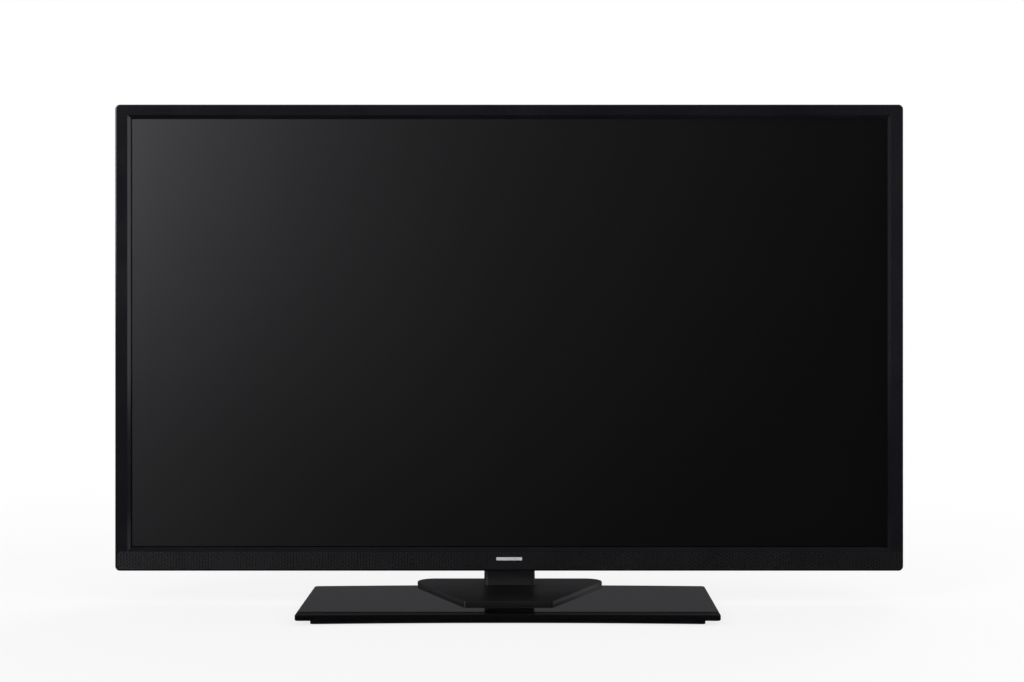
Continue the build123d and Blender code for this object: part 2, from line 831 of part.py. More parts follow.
with BuildPart() as diffuser_plate:
    add(picture_sheet(diffuser_margin, (diffuser_front, pan_front)))
save(diffuser_plate, "diffuser_plate")

with BuildPart() as backlight_pan:
    add(dish(picture_size(pan_margin), picture_size(-pan_slope), (pan_front, pan_back), steel,
             picture_mid_z))
    add(ring_sheet(picture_size(pan_flange_margin), picture_size(pan_margin - steel),
                   (pan_front, pan_front + steel), picture_mid_z))
    for x, z in bracket_screw_places:
        rod(x, z, (pan_back - steel - overrun, pan_back + overrun), bracket_pilot_radius,
            mode=Mode.SUBTRACT)
save(backlight_pan, "backlight_pan")

with BuildPart() as reflector_sheet:
    add(dish(picture_size(pan_margin - reflector_inset), picture_size(-pan_slope - reflector_inset),
             (pan_front + reflector_gap, reflector_back), reflector_thickness, picture_mid_z))
    for x, z in led_places:
        rod(x, z, (reflector_back - reflector_thickness - overrun, reflector_back + overrun),
            reflector_hole_radius, mode=Mode.SUBTRACT)
save(reflector_sheet, "reflector_sheet")

with BuildPart() as led_bars:
    for z in led_bar_zs:
        block((-led_bar_length / 2, led_bar_length / 2), (led_board_front, pan_back - steel),
              (z - led_bar_height / 2, z + led_bar_height / 2))
    for x, z in led_places:
        block((x - led_chip / 2, x + led_chip / 2), (led_board_front - led_chip_rise, led_board_front),
              (z - led_chip / 2, z + led_chip / 2))
save(led_bars, "led_bars")

with BuildPart() as one_lens:
    # A flat dome over the chip, hollow below, on three pegs that stand on the light bar.
    with BuildSketch(Plane.XZ):
        with BuildLine():
            Line((0, lens_chip_room), (0, lens_height - lens_dimple))
            ThreePointArc((0, lens_height - lens_dimple), (lens_radius * lens_crown_share, lens_height),
                          (lens_radius, lens_skirt))
            Polyline((lens_radius, lens_skirt), (lens_radius, lens_peg), (lens_room_radius, lens_peg),
                     (lens_room_radius, lens_chip_room), (0, lens_chip_room))
        make_face()
    revolve(axis=Axis.Z)
    with PolarLocations(lens_peg_circle, lens_peg_count):
        Cylinder(lens_peg_radius, lens_peg, align=(Align.CENTER, Align.CENTER, Align.MIN))
with BuildPart() as led_lenses:
    for x, z in led_places:
        add(one_lens.part.moved(Location((x, depth_y(led_board_front), z), (90, 0, 0))))
save(led_lenses, "led_lenses")

with BuildPart() as diffuser_posts:
    for x, z in diffuser_post_places:
        with Locations(Location((x, depth_y((post_front + post_back) / 2), z), (90, 0, 0))):
            Cone(post_foot_radius, post_tip_radius, post_back - post_front)
save(diffuser_posts, "diffuser_posts")

with BuildPart() as source_board:
    block((-source_board_length / 2, source_board_length / 2),
          (source_board_front, source_board_front + source_board_thickness),
          (source_board_bottom_z, source_board_top_z))
    # Socket for the flat cable, on the board's rear face.
    block((cable_x - cable_width / 2 - connector_side, cable_x + cable_width / 2 + connector_side),
          (source_board_front + source_board_thickness, source_connector_back),
          (source_board_top_z - source_connector_height, source_board_top_z))
save(source_board, "source_board")

with BuildPart() as ribbon_films:
    for x in ribbon_xs:
        block((x - ribbon_width / 2, x + ribbon_width / 2),
              (source_board_front - ribbon_thickness, source_board_front),
              (source_board_top_z - ribbon_lap, cell_bottom_z + ribbon_ledge - ribbon_play))
save(ribbon_films, "ribbon_films")

with BuildPart() as panel_cable:
    with BuildSketch(Plane.YZ.offset(cable_x - cable_width / 2)):
        with BuildLine():
            FilletPolyline(*cable_points, radius=cable_bend)
        trace(line_width=cable_thickness)
    extrude(amount=cable_width)
save(panel_cable, "panel_cable")

with BuildPart() as receiver_board:
    block((receiver_x - receiver_board_length / 2, receiver_x + receiver_board_length / 2),
          (receiver_depth, receiver_depth + receiver_board_thickness),
          (receiver_z - receiver_board_height / 2, receiver_z + receiver_board_height / 2))
    rod(receiver_x, receiver_z, (receiver_depth - receiver_dome_rise, receiver_depth), receiver_dome_radius)
    rod(lamp_x, receiver_z, (receiver_depth - lamp_rise, receiver_depth), lamp_radius)
save(receiver_board, "receiver_board")

# The cover's hollow: the bulge's inside, with a wall left around every recess
recesses = [
    ((lower_recess[0], lower_recess[1]), (bulge_bottom_z - overrun, recess_wall_z)),
    ((-bulge_width_front / 2 - overrun, recess_wall_x), side_recess),
    ((inlet_x - inlet_width / 2 - inlet_recess_side, inlet_x + inlet_width / 2 + inlet_recess_side),
     (bulge_bottom_z - overrun, recess_wall_z)),
    ((key_wall_x, bulge_width_front / 2 + overrun), (key_recess_bottom_z, key_recess_top_z)),
]


def bulge(inset, depth):
    # The bulge as a block with sloping sides, every side moved inwards by the inset.
    ends = ((bulge_width_front, bulge_bottom_z, bulge_top_z),
            (bulge_width_back, bulge_bottom_back_z, bulge_top_back_z))
    with BuildPart() as made:
        for place, (width, low, high) in zip(depth, ends):
            with BuildSketch(plane_at(place)):
                with Locations((0, (low + high) / 2)):
                    RectangleRounded(width - 2 * inset, high - low - 2 * inset, bulge_corner_round - inset)
        loft(ruled=True)
    return made.part


with BuildPart() as bulge_room:
    add(bulge(wall, (rim_inner_back, bulge_inner_back)))
    for x, z in recesses:
        block((x[0] - wall, x[1] + wall), (rim_inner_back, bulge_back), (z[0] - wall, z[1] + wall),
              mode=Mode.SUBTRACT)

with BuildPart() as rear_cover:
    with BuildSketch(plane_at(bezel_depth)):
        with Locations((0, cabinet_mid_z)):
            RectangleRounded(outer_width - 2 * rim_inset, outer_height - 2 * rim_inset, bezel_corner)
    extrude(amount=bezel_depth - rim_back)
    chamfer(rear_cover.faces().sort_by(Axis.Y)[-1].edges(), rim_edge_round)
    with BuildSketch(plane_at(bezel_depth)):
        with Locations((0, cabinet_mid_z)):
            RectangleRounded(outer_width - 2 * (rim_inset + wall), outer_height - 2 * (rim_inset + wall),
                             bezel_corner - wall)
    extrude(amount=bezel_depth - rim_inner_back, mode=Mode.SUBTRACT)
    add(bulge(0, (rim_back, bulge_back)))
    fillet(rear_cover.faces().sort_by(Axis.Y)[-1].edges(), bulge_edge_round)
    for x, z in recesses:
        block(x, (rim_back, bulge_back + overrun), z, mode=Mode.SUBTRACT)
    add(bulge_room.part, mode=Mode.SUBTRACT)
    # Columns for the case screws.
    with BuildSketch(plane_at(bezel_depth)):
        with Locations(*case_screw_places):
            Circle(case_column_radius)
        with Locations((0, cabinet_mid_z)):
            RectangleRounded(outer_width - 2 * (rim_inset + rim_edge_round),
                             outer_height - 2 * (rim_inset + rim_edge_round),
                             bezel_corner, mode=Mode.INTERSECT)
    extrude(amount=bezel_depth - rim_back)
    for x, z in case_screw_places:
        rod(x, z, (bezel_depth - overrun, rim_back + overrun), case_hole_radius, mode=Mode.SUBTRACT)
        rod(x, z, (rim_back - case_head_sink, rim_back + overrun), case_head_radius + case_head_gap,
            mode=Mode.SUBTRACT)
    # Ribs that press the pan's flange towards the bezel.
    for k in (-1, 1):
        x = k * (active_width / 2 + (pan_flange_margin + pan_margin) / 2)
        for m in (-1, 1):
            z = picture_mid_z + m * active_height / 3
            block((x - module_rib_thickness / 2, x + module_rib_thickness / 2),
                  (pan_front + steel, rim_inner_back),
                  (z - module_rib_length / 2, z + module_rib_length / 2))
        z = picture_mid_z + k * (active_height / 2 + (pan_flange_margin + pan_margin) / 2)
        for m in (-1, 0, 1):
            x = m * active_width / 3
            block((x - module_rib_length / 2, x + module_rib_length / 2),
                  (pan_front + steel, rim_inner_back),
                  (z - module_rib_thickness / 2, z + module_rib_thickness / 2))
    # Wall mount recesses, with a floor as thick as the walls.
    for x, z in mount_places:
        rod(x, z, (bulge_inner_back - mount_recess, bulge_inner_back), mount_recess_radius + wall)
        rod(x, z, (bulge_back - mount_recess, bulge_back + overrun), mount_recess_radius,
            mode=Mode.SUBTRACT)
        rod(x, z, (rim_back, bulge_back), mount_boss_radius + mount_hole_gap, mode=Mode.SUBTRACT)
    # Upper vents through the sloping top, upper and lower vents through the back.
    with BuildSketch(plane_at(rim_back + wall)):
        for x, z, count, height in vent_rows:
            with Locations((x, z)):
                with GridLocations(vent_pitch, 0, count, 1):
                    SlotOverall(height, vent_width, rotation=90)
    extrude(amount=rim_back + wall - bulge_back - overrun, mode=Mode.SUBTRACT)
    # Slot for the neck, and holes that let a screwdriver reach the neck screws.
    block((-neck_width / 2 - neck_slot_gap, neck_width / 2 + neck_slot_gap),
          (neck_front_depth - neck_slot_gap, neck_front_depth + neck_depth + neck_slot_gap),
          (bulge_bottom_z - overrun,
           bulge_bottom_z + bulge_bottom_draft + wall + overrun), mode=Mode.SUBTRACT)
    for x, z in neck_screw_places:
        rod(x, z, (bulge_inner_back - overrun, bulge_back + overrun), stand_head_radius + access_gap,
            mode=Mode.SUBTRACT)
    # Slots below the speakers.
    for k in (-1, 1):
        with BuildSketch(Plane.XY.offset(bulge_bottom_z - overrun)):
            with Locations((k * speaker_x, depth_y(speaker_mid))):
                with GridLocations(speaker_slot_pitch, 0, speaker_slot_count, 1):
                    SlotOverall(speaker_slot_length, speaker_slot_width, rotation=90)
        extrude(amount=bulge_bottom_draft + wall + 2 * overrun, mode=Mode.SUBTRACT)
    # Holes for the sockets and the keys.
    for x, depth, z in socket_holes:
        block(x, depth, z, mode=Mode.SUBTRACT)
    for z in key_zs:
        with BuildSketch(Plane.YZ.offset(key_wall_x - wall - overrun)):
            with Locations((depth_y(key_depth), z)):
                RectangleRounded(key_width + 2 * key_gap, key_height + 2 * key_gap, key_corner + key_gap)
        extrude(amount=wall + 2 * overrun, mode=Mode.SUBTRACT)
    # Posts that carry the key board.
    for z in (key_zs[0] - key_pitch + key_post, key_zs[-1] + key_pitch - key_post):
        block((key_board_x + key_board_thickness, key_wall_x - wall),
              (key_depth - key_post, key_depth + key_post),
              (z - key_post / 2, z + key_post / 2))
save(rear_cover, "rear_cover")

with BuildPart() as case_screws:
    for x, z in case_screw_places:
        head_seat = rim_back - case_head_sink
        rod(x, z, (head_seat, head_seat + case_head_height), case_head_radius)
        rod(x, z, (case_pilot_floor + fit_gap, head_seat), case_screw_radius)
save(case_screws, "case_screws")

with BuildPart() as mount_bosses:
    for x, z in mount_places:
        rod(x, z, (pan_back, bulge_back - mount_recess), mount_boss_radius)
        rod(x, z, (bulge_back - mount_recess - mount_hole_length, bulge_back), mount_hole_radius,
            mode=Mode.SUBTRACT)
save(mount_bosses, "mount_bosses")

# Main board and its sockets
with BuildPart() as board_standoffs:
    for x, z in standoff_places:
        rod(x, z, (pan_back, board_front), standoff_radius)
        rod(x, z, (pan_back + standoff_height - m3_engagement, board_front + overrun),
            m3_radius + m3_thread_gap, mode=Mode.SUBTRACT)
save(board_standoffs, "board_standoffs")

with BuildPart() as board_screws:
    for x, z in standoff_places:
        rod(x, z, (board_back, board_back + m3_head_height), m3_head_radius)
        rod(x, z, (board_front - m3_engagement + fit_gap, board_back), m3_radius)
save(board_screws, "board_screws")

with BuildPart() as main_board:
    block((main_board_left_x, main_board_right_x), (board_front, board_back),
          (main_board_bottom_z, main_board_top_z))
    block((main_board_right_x, main_board_arm_x), (board_front, board_back),
          (main_board_arm_z, main_board_top_z))
    # The main chip, memory chips and the sockets for the flat cable and the harness.
    for x, z, side in chip_places:
        block((x - side / 2, x + side / 2), (board_back, board_back + chip_thickness),
              (z - side / 2, z + side / 2))
    block((cable_x - cable_width / 2 - connector_side, cable_x + cable_width / 2 + connector_side),
          (board_back, board_back + cable_socket_depth),
          (cable_socket_z, cable_socket_z + cable_socket_height))
    block((main_board_arm_x - harness_socket, main_board_arm_x), (board_back, board_back + harness_socket),
          (harness_z - harness_width / 2, harness_z + harness_width / 2))
    for x, z in main_standoff_places:
        rod(x, z, (board_front - overrun, board_back + overrun), m3_radius + m3_hole_gap,
            mode=Mode.SUBTRACT)
save(main_board, "main_board")

with BuildPart() as main_heatsink:
    x, z, side = chip_places[0]
    sink_front = board_back + chip_thickness
    block((x - sink_side / 2, x + sink_side / 2), (sink_front, sink_front + sink_base),
          (z - sink_side / 2, z + sink_side / 2))
    for k in range(sink_fin_count):
        fin_x = x - sink_side / 2 + k * (sink_side - sink_fin) / (sink_fin_count - 1)
        block((fin_x, fin_x + sink_fin), (sink_front + sink_base, sink_front + sink_height),
              (z - sink_side / 2, z + sink_side / 2))
save(main_heatsink, "main_heatsink")

with BuildPart() as hdmi_sockets:
    for x in hdmi_xs:
        mouth_z = recess_wall_z + socket_set_in
        z = (mouth_z, mouth_z + hdmi_length)
        middle = board_back + hdmi_height / 2
        block((x - hdmi_width / 2, x + hdmi_width / 2), (board_back, board_back + hdmi_height), z)
        block((x - hdmi_width / 2 + hdmi_shell, x + hdmi_width / 2 - hdmi_shell),
              (board_back + hdmi_shell, board_back + hdmi_height - hdmi_shell),
              (mouth_z - overrun, mouth_z + hdmi_room), mode=Mode.SUBTRACT)
        block((x - hdmi_tongue_width / 2, x + hdmi_tongue_width / 2),
              (middle - hdmi_tongue / 2, middle + hdmi_tongue / 2),
              (mouth_z + hdmi_shell, mouth_z + hdmi_room))
save(hdmi_sockets, "hdmi_sockets")

with BuildPart() as lan_socket:
    mouth_z = recess_wall_z + socket_set_in
    block((lan_x - lan_width / 2, lan_x + lan_width / 2), (board_back, board_back + lan_height),
          (mouth_z, mouth_z + lan_length))
    block((lan_x - lan_room_width / 2, lan_x + lan_room_width / 2),
          (board_back + lan_floor, board_back + lan_floor + lan_room_height),
          (mouth_z - overrun, mouth_z + lan_room), mode=Mode.SUBTRACT)
    # Groove for the plug's latch.
    block((lan_x - lan_latch / 2, lan_x + lan_latch / 2),
          (board_back + lan_floor, board_back + lan_height - lan_floor),
          (mouth_z - overrun, mouth_z + lan_room), mode=Mode.SUBTRACT)
save(lan_socket, "lan_socket")

with BuildPart() as tuner_can:
    block((tuner_x - tuner_width / 2, tuner_x + tuner_width / 2), (board_back, board_back + tuner_height),
          (main_board_bottom_z, main_board_bottom_z + tuner_length))
    tuner_mid = board_back + tuner_height / 2
    collar = (recess_wall_z - coax_reach, main_board_bottom_z)
    upright_rod(tuner_x, tuner_mid, collar, coax_radius)
    upright_rod(tuner_x, tuner_mid, (collar[0] - overrun, main_board_bottom_z), coax_radius - coax_wall,
                mode=Mode.SUBTRACT)
    upright_rod(tuner_x, tuner_mid, (collar[0] + coax_wall, main_board_bottom_z + coax_wall),
                coax_centre_radius)
    upright_rod(tuner_x, tuner_mid, (collar[0], main_board_bottom_z), coax_hole_radius, mode=Mode.SUBTRACT)
save(tuner_can, "tuner_can")

with BuildPart() as audio_jacks:
    middle = board_back + jack_height / 2
    mouth_z = recess_wall_z + socket_set_in
    for x in jack_xs:
        block((x - jack_width / 2, x + jack_width / 2), (board_back, board_back + jack_height),
              (main_board_bottom_z, main_board_bottom_z + jack_length))
        upright_rod(x, middle, (mouth_z, main_board_bottom_z), jack_collar_radius)
        upright_rod(x, middle, (mouth_z - overrun, main_board_bottom_z + jack_length - jack_wall),
                    jack_bore_radius, mode=Mode.SUBTRACT)
    mouth_x = recess_wall_x + socket_set_in
    block((main_board_left_x, main_board_left_x + jack_length), (board_back, board_back + jack_height),
          (headphone_z - jack_width / 2, headphone_z + jack_width / 2))
    cross_rod((mouth_x, main_board_left_x), middle, headphone_z, jack_collar_radius)
    cross_rod((mouth_x - overrun, main_board_left_x + jack_length - jack_wall), middle, headphone_z,
              jack_bore_radius, mode=Mode.SUBTRACT)
save(audio_jacks, "audio_jacks")

with BuildPart() as usb_sockets:
    mouth_x = recess_wall_x + socket_set_in
    for z in usb_zs:
        block((mouth_x, mouth_x + usb_length), (board_back, board_back + usb_height),
              (z - usb_width / 2, z + usb_width / 2))
        block((mouth_x - overrun, mouth_x + usb_room),
              (board_back + usb_shell, board_back + usb_height - usb_shell),
              (z - usb_width / 2 + usb_shell, z + usb_width / 2 - usb_shell), mode=Mode.SUBTRACT)
        block((mouth_x + usb_shell, mouth_x + usb_room),
              (board_back + usb_shell, board_back + usb_shell + usb_tongue),
              (z - usb_tongue_width / 2, z + usb_tongue_width / 2))
save(usb_sockets, "usb_sockets")

with BuildPart() as card_slot:
    mouth_x = recess_wall_x + socket_set_in
    block((mouth_x, mouth_x + card_length), (board_back, board_back + card_height),
          (card_z - card_width / 2, card_z + card_width / 2))
    block((mouth_x - overrun, mouth_x + card_length - card_end),
          (board_back + card_wall, board_back + card_height - card_wall),
          (card_z - card_width / 2 + card_side, card_z + card_width / 2 - card_side), mode=Mode.SUBTRACT)
save(card_slot, "card_slot")

# Power board and what stands on it
with BuildPart() as power_board:
    block((power_board_left_x, power_board_right_x), (board_front, board_back),
          (power_board_bottom_z, power_board_top_z))
    block((power_board_left_x, power_board_left_x + harness_socket),
          (board_back, board_back + harness_socket),
          (harness_z - harness_width / 2, harness_z + harness_width / 2))
    for x, z in power_standoff_places:
        rod(x, z, (board_front - overrun, board_back + overrun), m3_radius + m3_hole_gap,
            mode=Mode.SUBTRACT)
save(power_board, "power_board")

with BuildPart() as power_transformers:
    for x, z, side in transformer_places:
        block((x - side / 2, x + side / 2), (board_back, board_back + transformer_height),
              (z - side * transformer_core_share, z + side * transformer_core_share))
        block((x - side * transformer_coil_share, x + side * transformer_coil_share),
              (board_back + transformer_foot,
               board_back + transformer_height - transformer_foot), (z - side / 2, z + side / 2))
save(power_transformers, "power_transformers")

with BuildPart() as power_capacitors:
    for x, z, radius in capacitor_places:
        rod(x, z, (board_back, board_back + capacitor_height), radius)
    fillet(power_capacitors.faces().filter_by(Axis.Y).group_by(Axis.Y)[-1].edges(), capacitor_round)
save(power_capacitors, "power_capacitors")

with BuildPart() as power_heatsinks:
    for x, z, length in cooler_places:
        block((x - cooler_thickness / 2, x + cooler_thickness / 2),
              (board_back, board_back + cooler_height), (z, z + length))
        for k in range(cooler_fin_count):
            fin = board_back + cooler_height - cooler_thickness - k * cooler_fin_pitch
            block((x + cooler_thickness / 2, x + cooler_thickness / 2 + cooler_fin_reach),
                  (fin, fin + cooler_thickness / 2),
                  (z, z + length))
save(power_heatsinks, "power_heatsinks")

with BuildPart() as mains_inlet:
    mouth_z = recess_wall_z + socket_set_in
    middle = board_back + inlet_depth / 2
    block((inlet_x - inlet_width / 2, inlet_x + inlet_width / 2), (board_back, board_back + inlet_depth),
          (mouth_z, mouth_z + inlet_length))
    with BuildSketch(Plane.XY.offset(mouth_z)):
        with Locations((inlet_x, depth_y(middle))):
            SlotOverall(inlet_room_width, inlet_room_depth)
    extrude(amount=inlet_room, mode=Mode.SUBTRACT)
    for k in (-1, 1):
        upright_rod(inlet_x + k * inlet_pin_spacing / 2, middle,
                    (mouth_z + inlet_pin_set_in, mouth_z + inlet_room), inlet_pin_radius)
save(mains_inlet, "mains_inlet")

with BuildPart() as power_harness:
    for k in range(harness_wires):
        z = harness_z + (k - (harness_wires - 1) / 2) * harness_pitch
        depth = board_back + harness_socket / 2
        with BuildLine() as run:
            ThreePointArc((main_board_arm_x + fit_gap, depth_y(depth), z),
                          (0, depth_y(depth), z - harness_sag),
                          (power_board_left_x - fit_gap, depth_y(depth), z))
        with BuildSketch(Plane(origin=run.line @ 0, z_dir=run.line % 0)):
            Circle(harness_wire_radius)
        sweep()
save(power_harness, "power_harness")

# Keys
with BuildPart() as key_board:
    block((key_board_x, key_board_x + key_board_thickness),
          (key_depth - key_board_depth / 2, key_depth + key_board_depth / 2),
          (key_zs[0] - key_board_overlap - key_pitch / 2, key_zs[-1] + key_board_overlap + key_pitch / 2))
    for z in key_zs:
        block((key_board_x + key_board_thickness, switch_body_x),
              (key_depth - switch_side / 2, key_depth + switch_side / 2),
              (z - switch_side / 2, z + switch_side / 2))
        cross_rod((switch_body_x, switch_nib_x), key_depth, z, switch_nib_radius)
save(key_board, "key_board")

for name, z in zip(key_names, key_zs):
    with BuildPart() as key:
        with BuildSketch(Plane.YZ.offset(key_back_x)):
            with Locations((depth_y(key_depth), z)):
                RectangleRounded(key_width + 2 * key_flange, key_height + 2 * key_flange, key_corner)
        extrude(amount=key_flange_thickness)
        with BuildSketch(Plane.YZ.offset(key_back_x)):
            with Locations((depth_y(key_depth), z)):
                RectangleRounded(key_width, key_height, key_corner)
        extrude(amount=key_wall_x + key_rise - key_back_x)
        chamfer(key.faces().sort_by(Axis.X)[-1].edges(), key_gap)
    save(key, name)

# Speakers: the same parts on both sides
for k, side in ((-1, "left"), (1, "right")):
    x_mid = k * speaker_x
    y_mid = depth_y(speaker_mid)
    with BuildPart() as speaker_box:
        with Locations((x_mid, y_mid, (speaker_floor_z + speaker_top_z) / 2)):
            Box(speaker_width, speaker_depth, speaker_height)
            Box(speaker_width - 2 * speaker_wall, speaker_depth - 2 * speaker_wall,
                speaker_height - 2 * speaker_wall, mode=Mode.SUBTRACT)
        with BuildSketch(Plane(origin=(x_mid, y_mid, speaker_floor_z - overrun))):
            Ellipse(basket_length / 2 + fit_gap, basket_width / 2 + fit_gap)
        extrude(amount=speaker_wall + 2 * overrun, mode=Mode.SUBTRACT)
        # Feet that stand on the pan.
        for m in (-1, 1):
            for z in (speaker_floor_z + speaker_height / 4, speaker_top_z - speaker_height / 4):
                x = x_mid + m * speaker_width / 3
                rod(x, z, (pan_back, speaker_front), standoff_radius)
    save(speaker_box, f"speaker_box_{side}")

    basket_top_z = speaker_floor_z + basket_height
    cone_bottom_z = speaker_floor_z - basket_flange + cone_set_in
    with BuildPart() as driver_basket:
        # Flange below the box, funnel up to the magnet, and the magnet with its gap for the coil.
        with BuildSketch(Plane(origin=(x_mid, y_mid, speaker_floor_z - basket_flange))):
            Ellipse(basket_flange_length / 2, basket_flange_width / 2)
        extrude(amount=basket_flange)
        with BuildSketch(Plane(origin=(x_mid, y_mid, speaker_floor_z))):
            Ellipse(basket_length / 2, basket_width / 2)
        with BuildSketch(Plane(origin=(x_mid, y_mid, basket_top_z))):
            Ellipse(basket_throat_radius, basket_throat_radius)
        loft(ruled=True)
        with BuildSketch(Plane(origin=(x_mid, y_mid, speaker_floor_z - basket_flange))):
            Ellipse(basket_length / 2 - basket_sheet, basket_width / 2 - basket_sheet)
        extrude(amount=basket_flange, mode=Mode.SUBTRACT)
        with BuildSketch(Plane(origin=(x_mid, y_mid, speaker_floor_z))):
            Ellipse(basket_length / 2 - basket_sheet, basket_width / 2 - basket_sheet)
        with BuildSketch(Plane(origin=(x_mid, y_mid, basket_top_z))):
            Ellipse(basket_throat_radius - basket_sheet, basket_throat_radius - basket_sheet)
        loft(ruled=True, mode=Mode.SUBTRACT)
        with Locations((x_mid, y_mid, basket_top_z + magnet_height / 2)):
            Cylinder(magnet_radius, magnet_height)
        with Locations((x_mid, y_mid, basket_top_z + (magnet_height - basket_flange) / 2 - basket_flange)):
            Cylinder(voice_radius + voice_gap, magnet_height, mode=Mode.SUBTRACT)
        with Locations((x_mid, y_mid, basket_top_z + magnet_height / 2)):
            Cylinder(pole_radius, magnet_height)
        # Windows in the funnel.
        with Locations((x_mid, y_mid, speaker_floor_z + basket_height / 2)):
            Box(basket_window, basket_width, basket_height / 3, mode=Mode.SUBTRACT)
    save(driver_basket, f"driver_basket_{side}")

    with BuildPart() as driver_cone:
        with BuildSketch(Plane(origin=(x_mid, y_mid, cone_bottom_z))):
            Ellipse(cone_length / 2, cone_width / 2)
        with BuildSketch(Plane(origin=(x_mid, y_mid, cone_bottom_z + cone_height))):
            Ellipse(voice_radius, voice_radius)
        loft(ruled=True)
        with BuildSketch(Plane(origin=(x_mid, y_mid, cone_bottom_z))):
            Ellipse(cone_length / 2 - cone_sheet, cone_width / 2 - cone_sheet)
        with BuildSketch(Plane(origin=(x_mid, y_mid, cone_bottom_z + cone_height))):
            Ellipse(voice_radius - cone_sheet, voice_radius - cone_sheet)
        loft(ruled=True, mode=Mode.SUBTRACT)
        # Voice coil on its former, and the cap that closes the cone.
        with Locations((x_mid, y_mid, cone_bottom_z + cone_height + voice_length / 2)):
            Cylinder(voice_radius, voice_length)
            Cylinder(voice_radius - voice_thickness, voice_length, mode=Mode.SUBTRACT)
        with Locations((x_mid, y_mid, cone_bottom_z + cone_height - cone_sheet / 2)):
            Cylinder(voice_radius - cone_sheet / 2, cone_sheet)
    save(driver_cone, f"driver_cone_{side}")

    # Soft surround between cone and flange, with its roll inside the funnel.
    with BuildPart() as driver_surround:
        with BuildSketch(Plane(origin=(x_mid, y_mid, cone_bottom_z))):
            Ellipse(basket_length / 2 - basket_sheet - fit_gap, basket_width / 2 - basket_sheet - fit_gap)
            Ellipse(cone_length / 2 + fit_gap, cone_width / 2 + fit_gap, mode=Mode.SUBTRACT)
        extrude(amount=surround_sheet)
        with BuildSketch(Plane(origin=(x_mid, y_mid, cone_bottom_z + surround_sheet))):
            Ellipse(basket_length / 2 - surround_edge_inset, basket_width / 2 - surround_edge_inset)
            Ellipse(cone_length / 2 + surround_roll_inset, cone_width / 2 + surround_roll_inset,
                    mode=Mode.SUBTRACT)
        extrude(amount=surround_roll)
    save(driver_surround, f"driver_surround_{side}")


def glass_outline(side_inset, front_inset, back_inset):
    # The glass seen from above: straight ends, both long edges arched backwards.
    half = glass_width / 2 - side_inset
    front_y = glass_front_y + front_inset
    back_y = glass_back_y - back_inset
    with BuildLine() as edge:
        ThreePointArc((-half, front_y), (0, front_y + glass_bow), (half, front_y))
        Line((half, front_y), (half, back_y))
        ThreePointArc((half, back_y), (0, back_y + glass_bow), (-half, back_y))
        Line((-half, back_y), (-half, front_y))
    return edge.line


# Foot
with BuildPart() as glass_base:
    with BuildSketch(Plane.XY.offset(glass_bottom_z)) as glass_sketch:
        add(glass_outline(0, 0, 0))
        make_face()
        fillet(glass_sketch.vertices(), glass_corner)
    extrude(amount=glass_thickness)
    chamfer(glass_base.edges().filter_by(Axis.Z, reverse=True), glass_edge)
    for x, depth in foot_screw_places:
        if depth == foot_screw_glass_depth:
            upright_rod(x, depth, (glass_bottom_z - overrun, glass_top_z + overrun),
                        stand_screw_radius + glass_hole_gap, mode=Mode.SUBTRACT)
save(glass_base, "glass_base")

tail_front_y = glass_back_y + glass_bow + tail_glass_gap
tail_end_y = tail_back_y - tail_back_inset
with BuildPart() as base_tray:
    with BuildSketch(Plane.XY.offset(tray_bottom_z)) as tray_sketch:
        add(glass_outline(tray_side_inset, tray_front_inset, tray_back_inset))
        make_face()
        fillet(tray_sketch.vertices(), tray_corner)
        with Locations((0, (glass_back_y - tray_back_inset + tail_end_y) / 2)):
            Rectangle(2 * tail_half_width, tail_end_y - glass_back_y + tray_back_inset)
    extrude(amount=tray_thickness)
    # The tail rises behind the glass and carries the stand plate there.
    with BuildSketch(Plane.XY.offset(glass_bottom_z)):
        with Locations((0, (tail_front_y + tail_end_y) / 2)):
            Rectangle(2 * tail_half_width, tail_end_y - tail_front_y)
    extrude(amount=glass_thickness)
    for x, depth in foot_screw_places:
        upright_rod(x, depth, (tray_bottom_z - overrun, glass_top_z + overrun),
                    stand_screw_radius + stand_hole_gap, mode=Mode.SUBTRACT)
        upright_rod(x, depth, (tray_bottom_z - overrun, tray_bottom_z + foot_head_sink),
                    stand_head_radius + access_gap, mode=Mode.SUBTRACT)
    for x, y in foot_places:
        with Locations((x, y, tray_bottom_z + foot_sink / 2)):
            Cylinder(foot_radius + foot_seat_gap, foot_sink, mode=Mode.SUBTRACT)
save(base_tray, "base_tray")

with BuildPart() as rubber_feet:
    for x, y in foot_places:
        with Locations((x, y, (tray_bottom_z + foot_sink) / 2)):
            Cylinder(foot_radius, tray_bottom_z + foot_sink)
save(rubber_feet, "rubber_feet")

core_foot_front_depth = core_front - core_foot_side
with BuildPart() as stand_plate:
    plate_front_y = glass_front_y + plate_front_depth
    with BuildSketch(Plane.XY.offset(plate_bottom_z)) as plate_sketch:
        with BuildLine():
            Polyline((-plate_front_width / 2, plate_front_y), (plate_front_width / 2, plate_front_y),
                     (plate_back_width / 2, tail_back_y), (-plate_back_width / 2, tail_back_y), close=True)
        make_face()
        fillet(plate_sketch.vertices().group_by(Axis.Y)[-1], plate_back_corner)
        fillet(plate_sketch.vertices().group_by(Axis.Y)[0], plate_front_corner)
    extrude(amount=plate_thickness)
    fillet(stand_plate.faces().sort_by(Axis.Z)[-1].edges(), plate_edge_round)
    # Pocket below for the core's foot, and the way up for the core.
    block((-core_width / 2 - core_foot_side - core_fit_gap, core_width / 2 + core_foot_side + core_fit_gap),
          (core_foot_front_depth - core_fit_gap, core_foot_back_depth + core_fit_gap),
          (plate_bottom_z - overrun, plate_top_z - plate_skin), mode=Mode.SUBTRACT)
    block((-core_width / 2 - core_fit_gap, core_width / 2 + core_fit_gap),
          (core_front - core_fit_gap, core_front + core_side_depth + core_fit_gap),
          (plate_bottom_z, plate_top_z + overrun), mode=Mode.SUBTRACT)
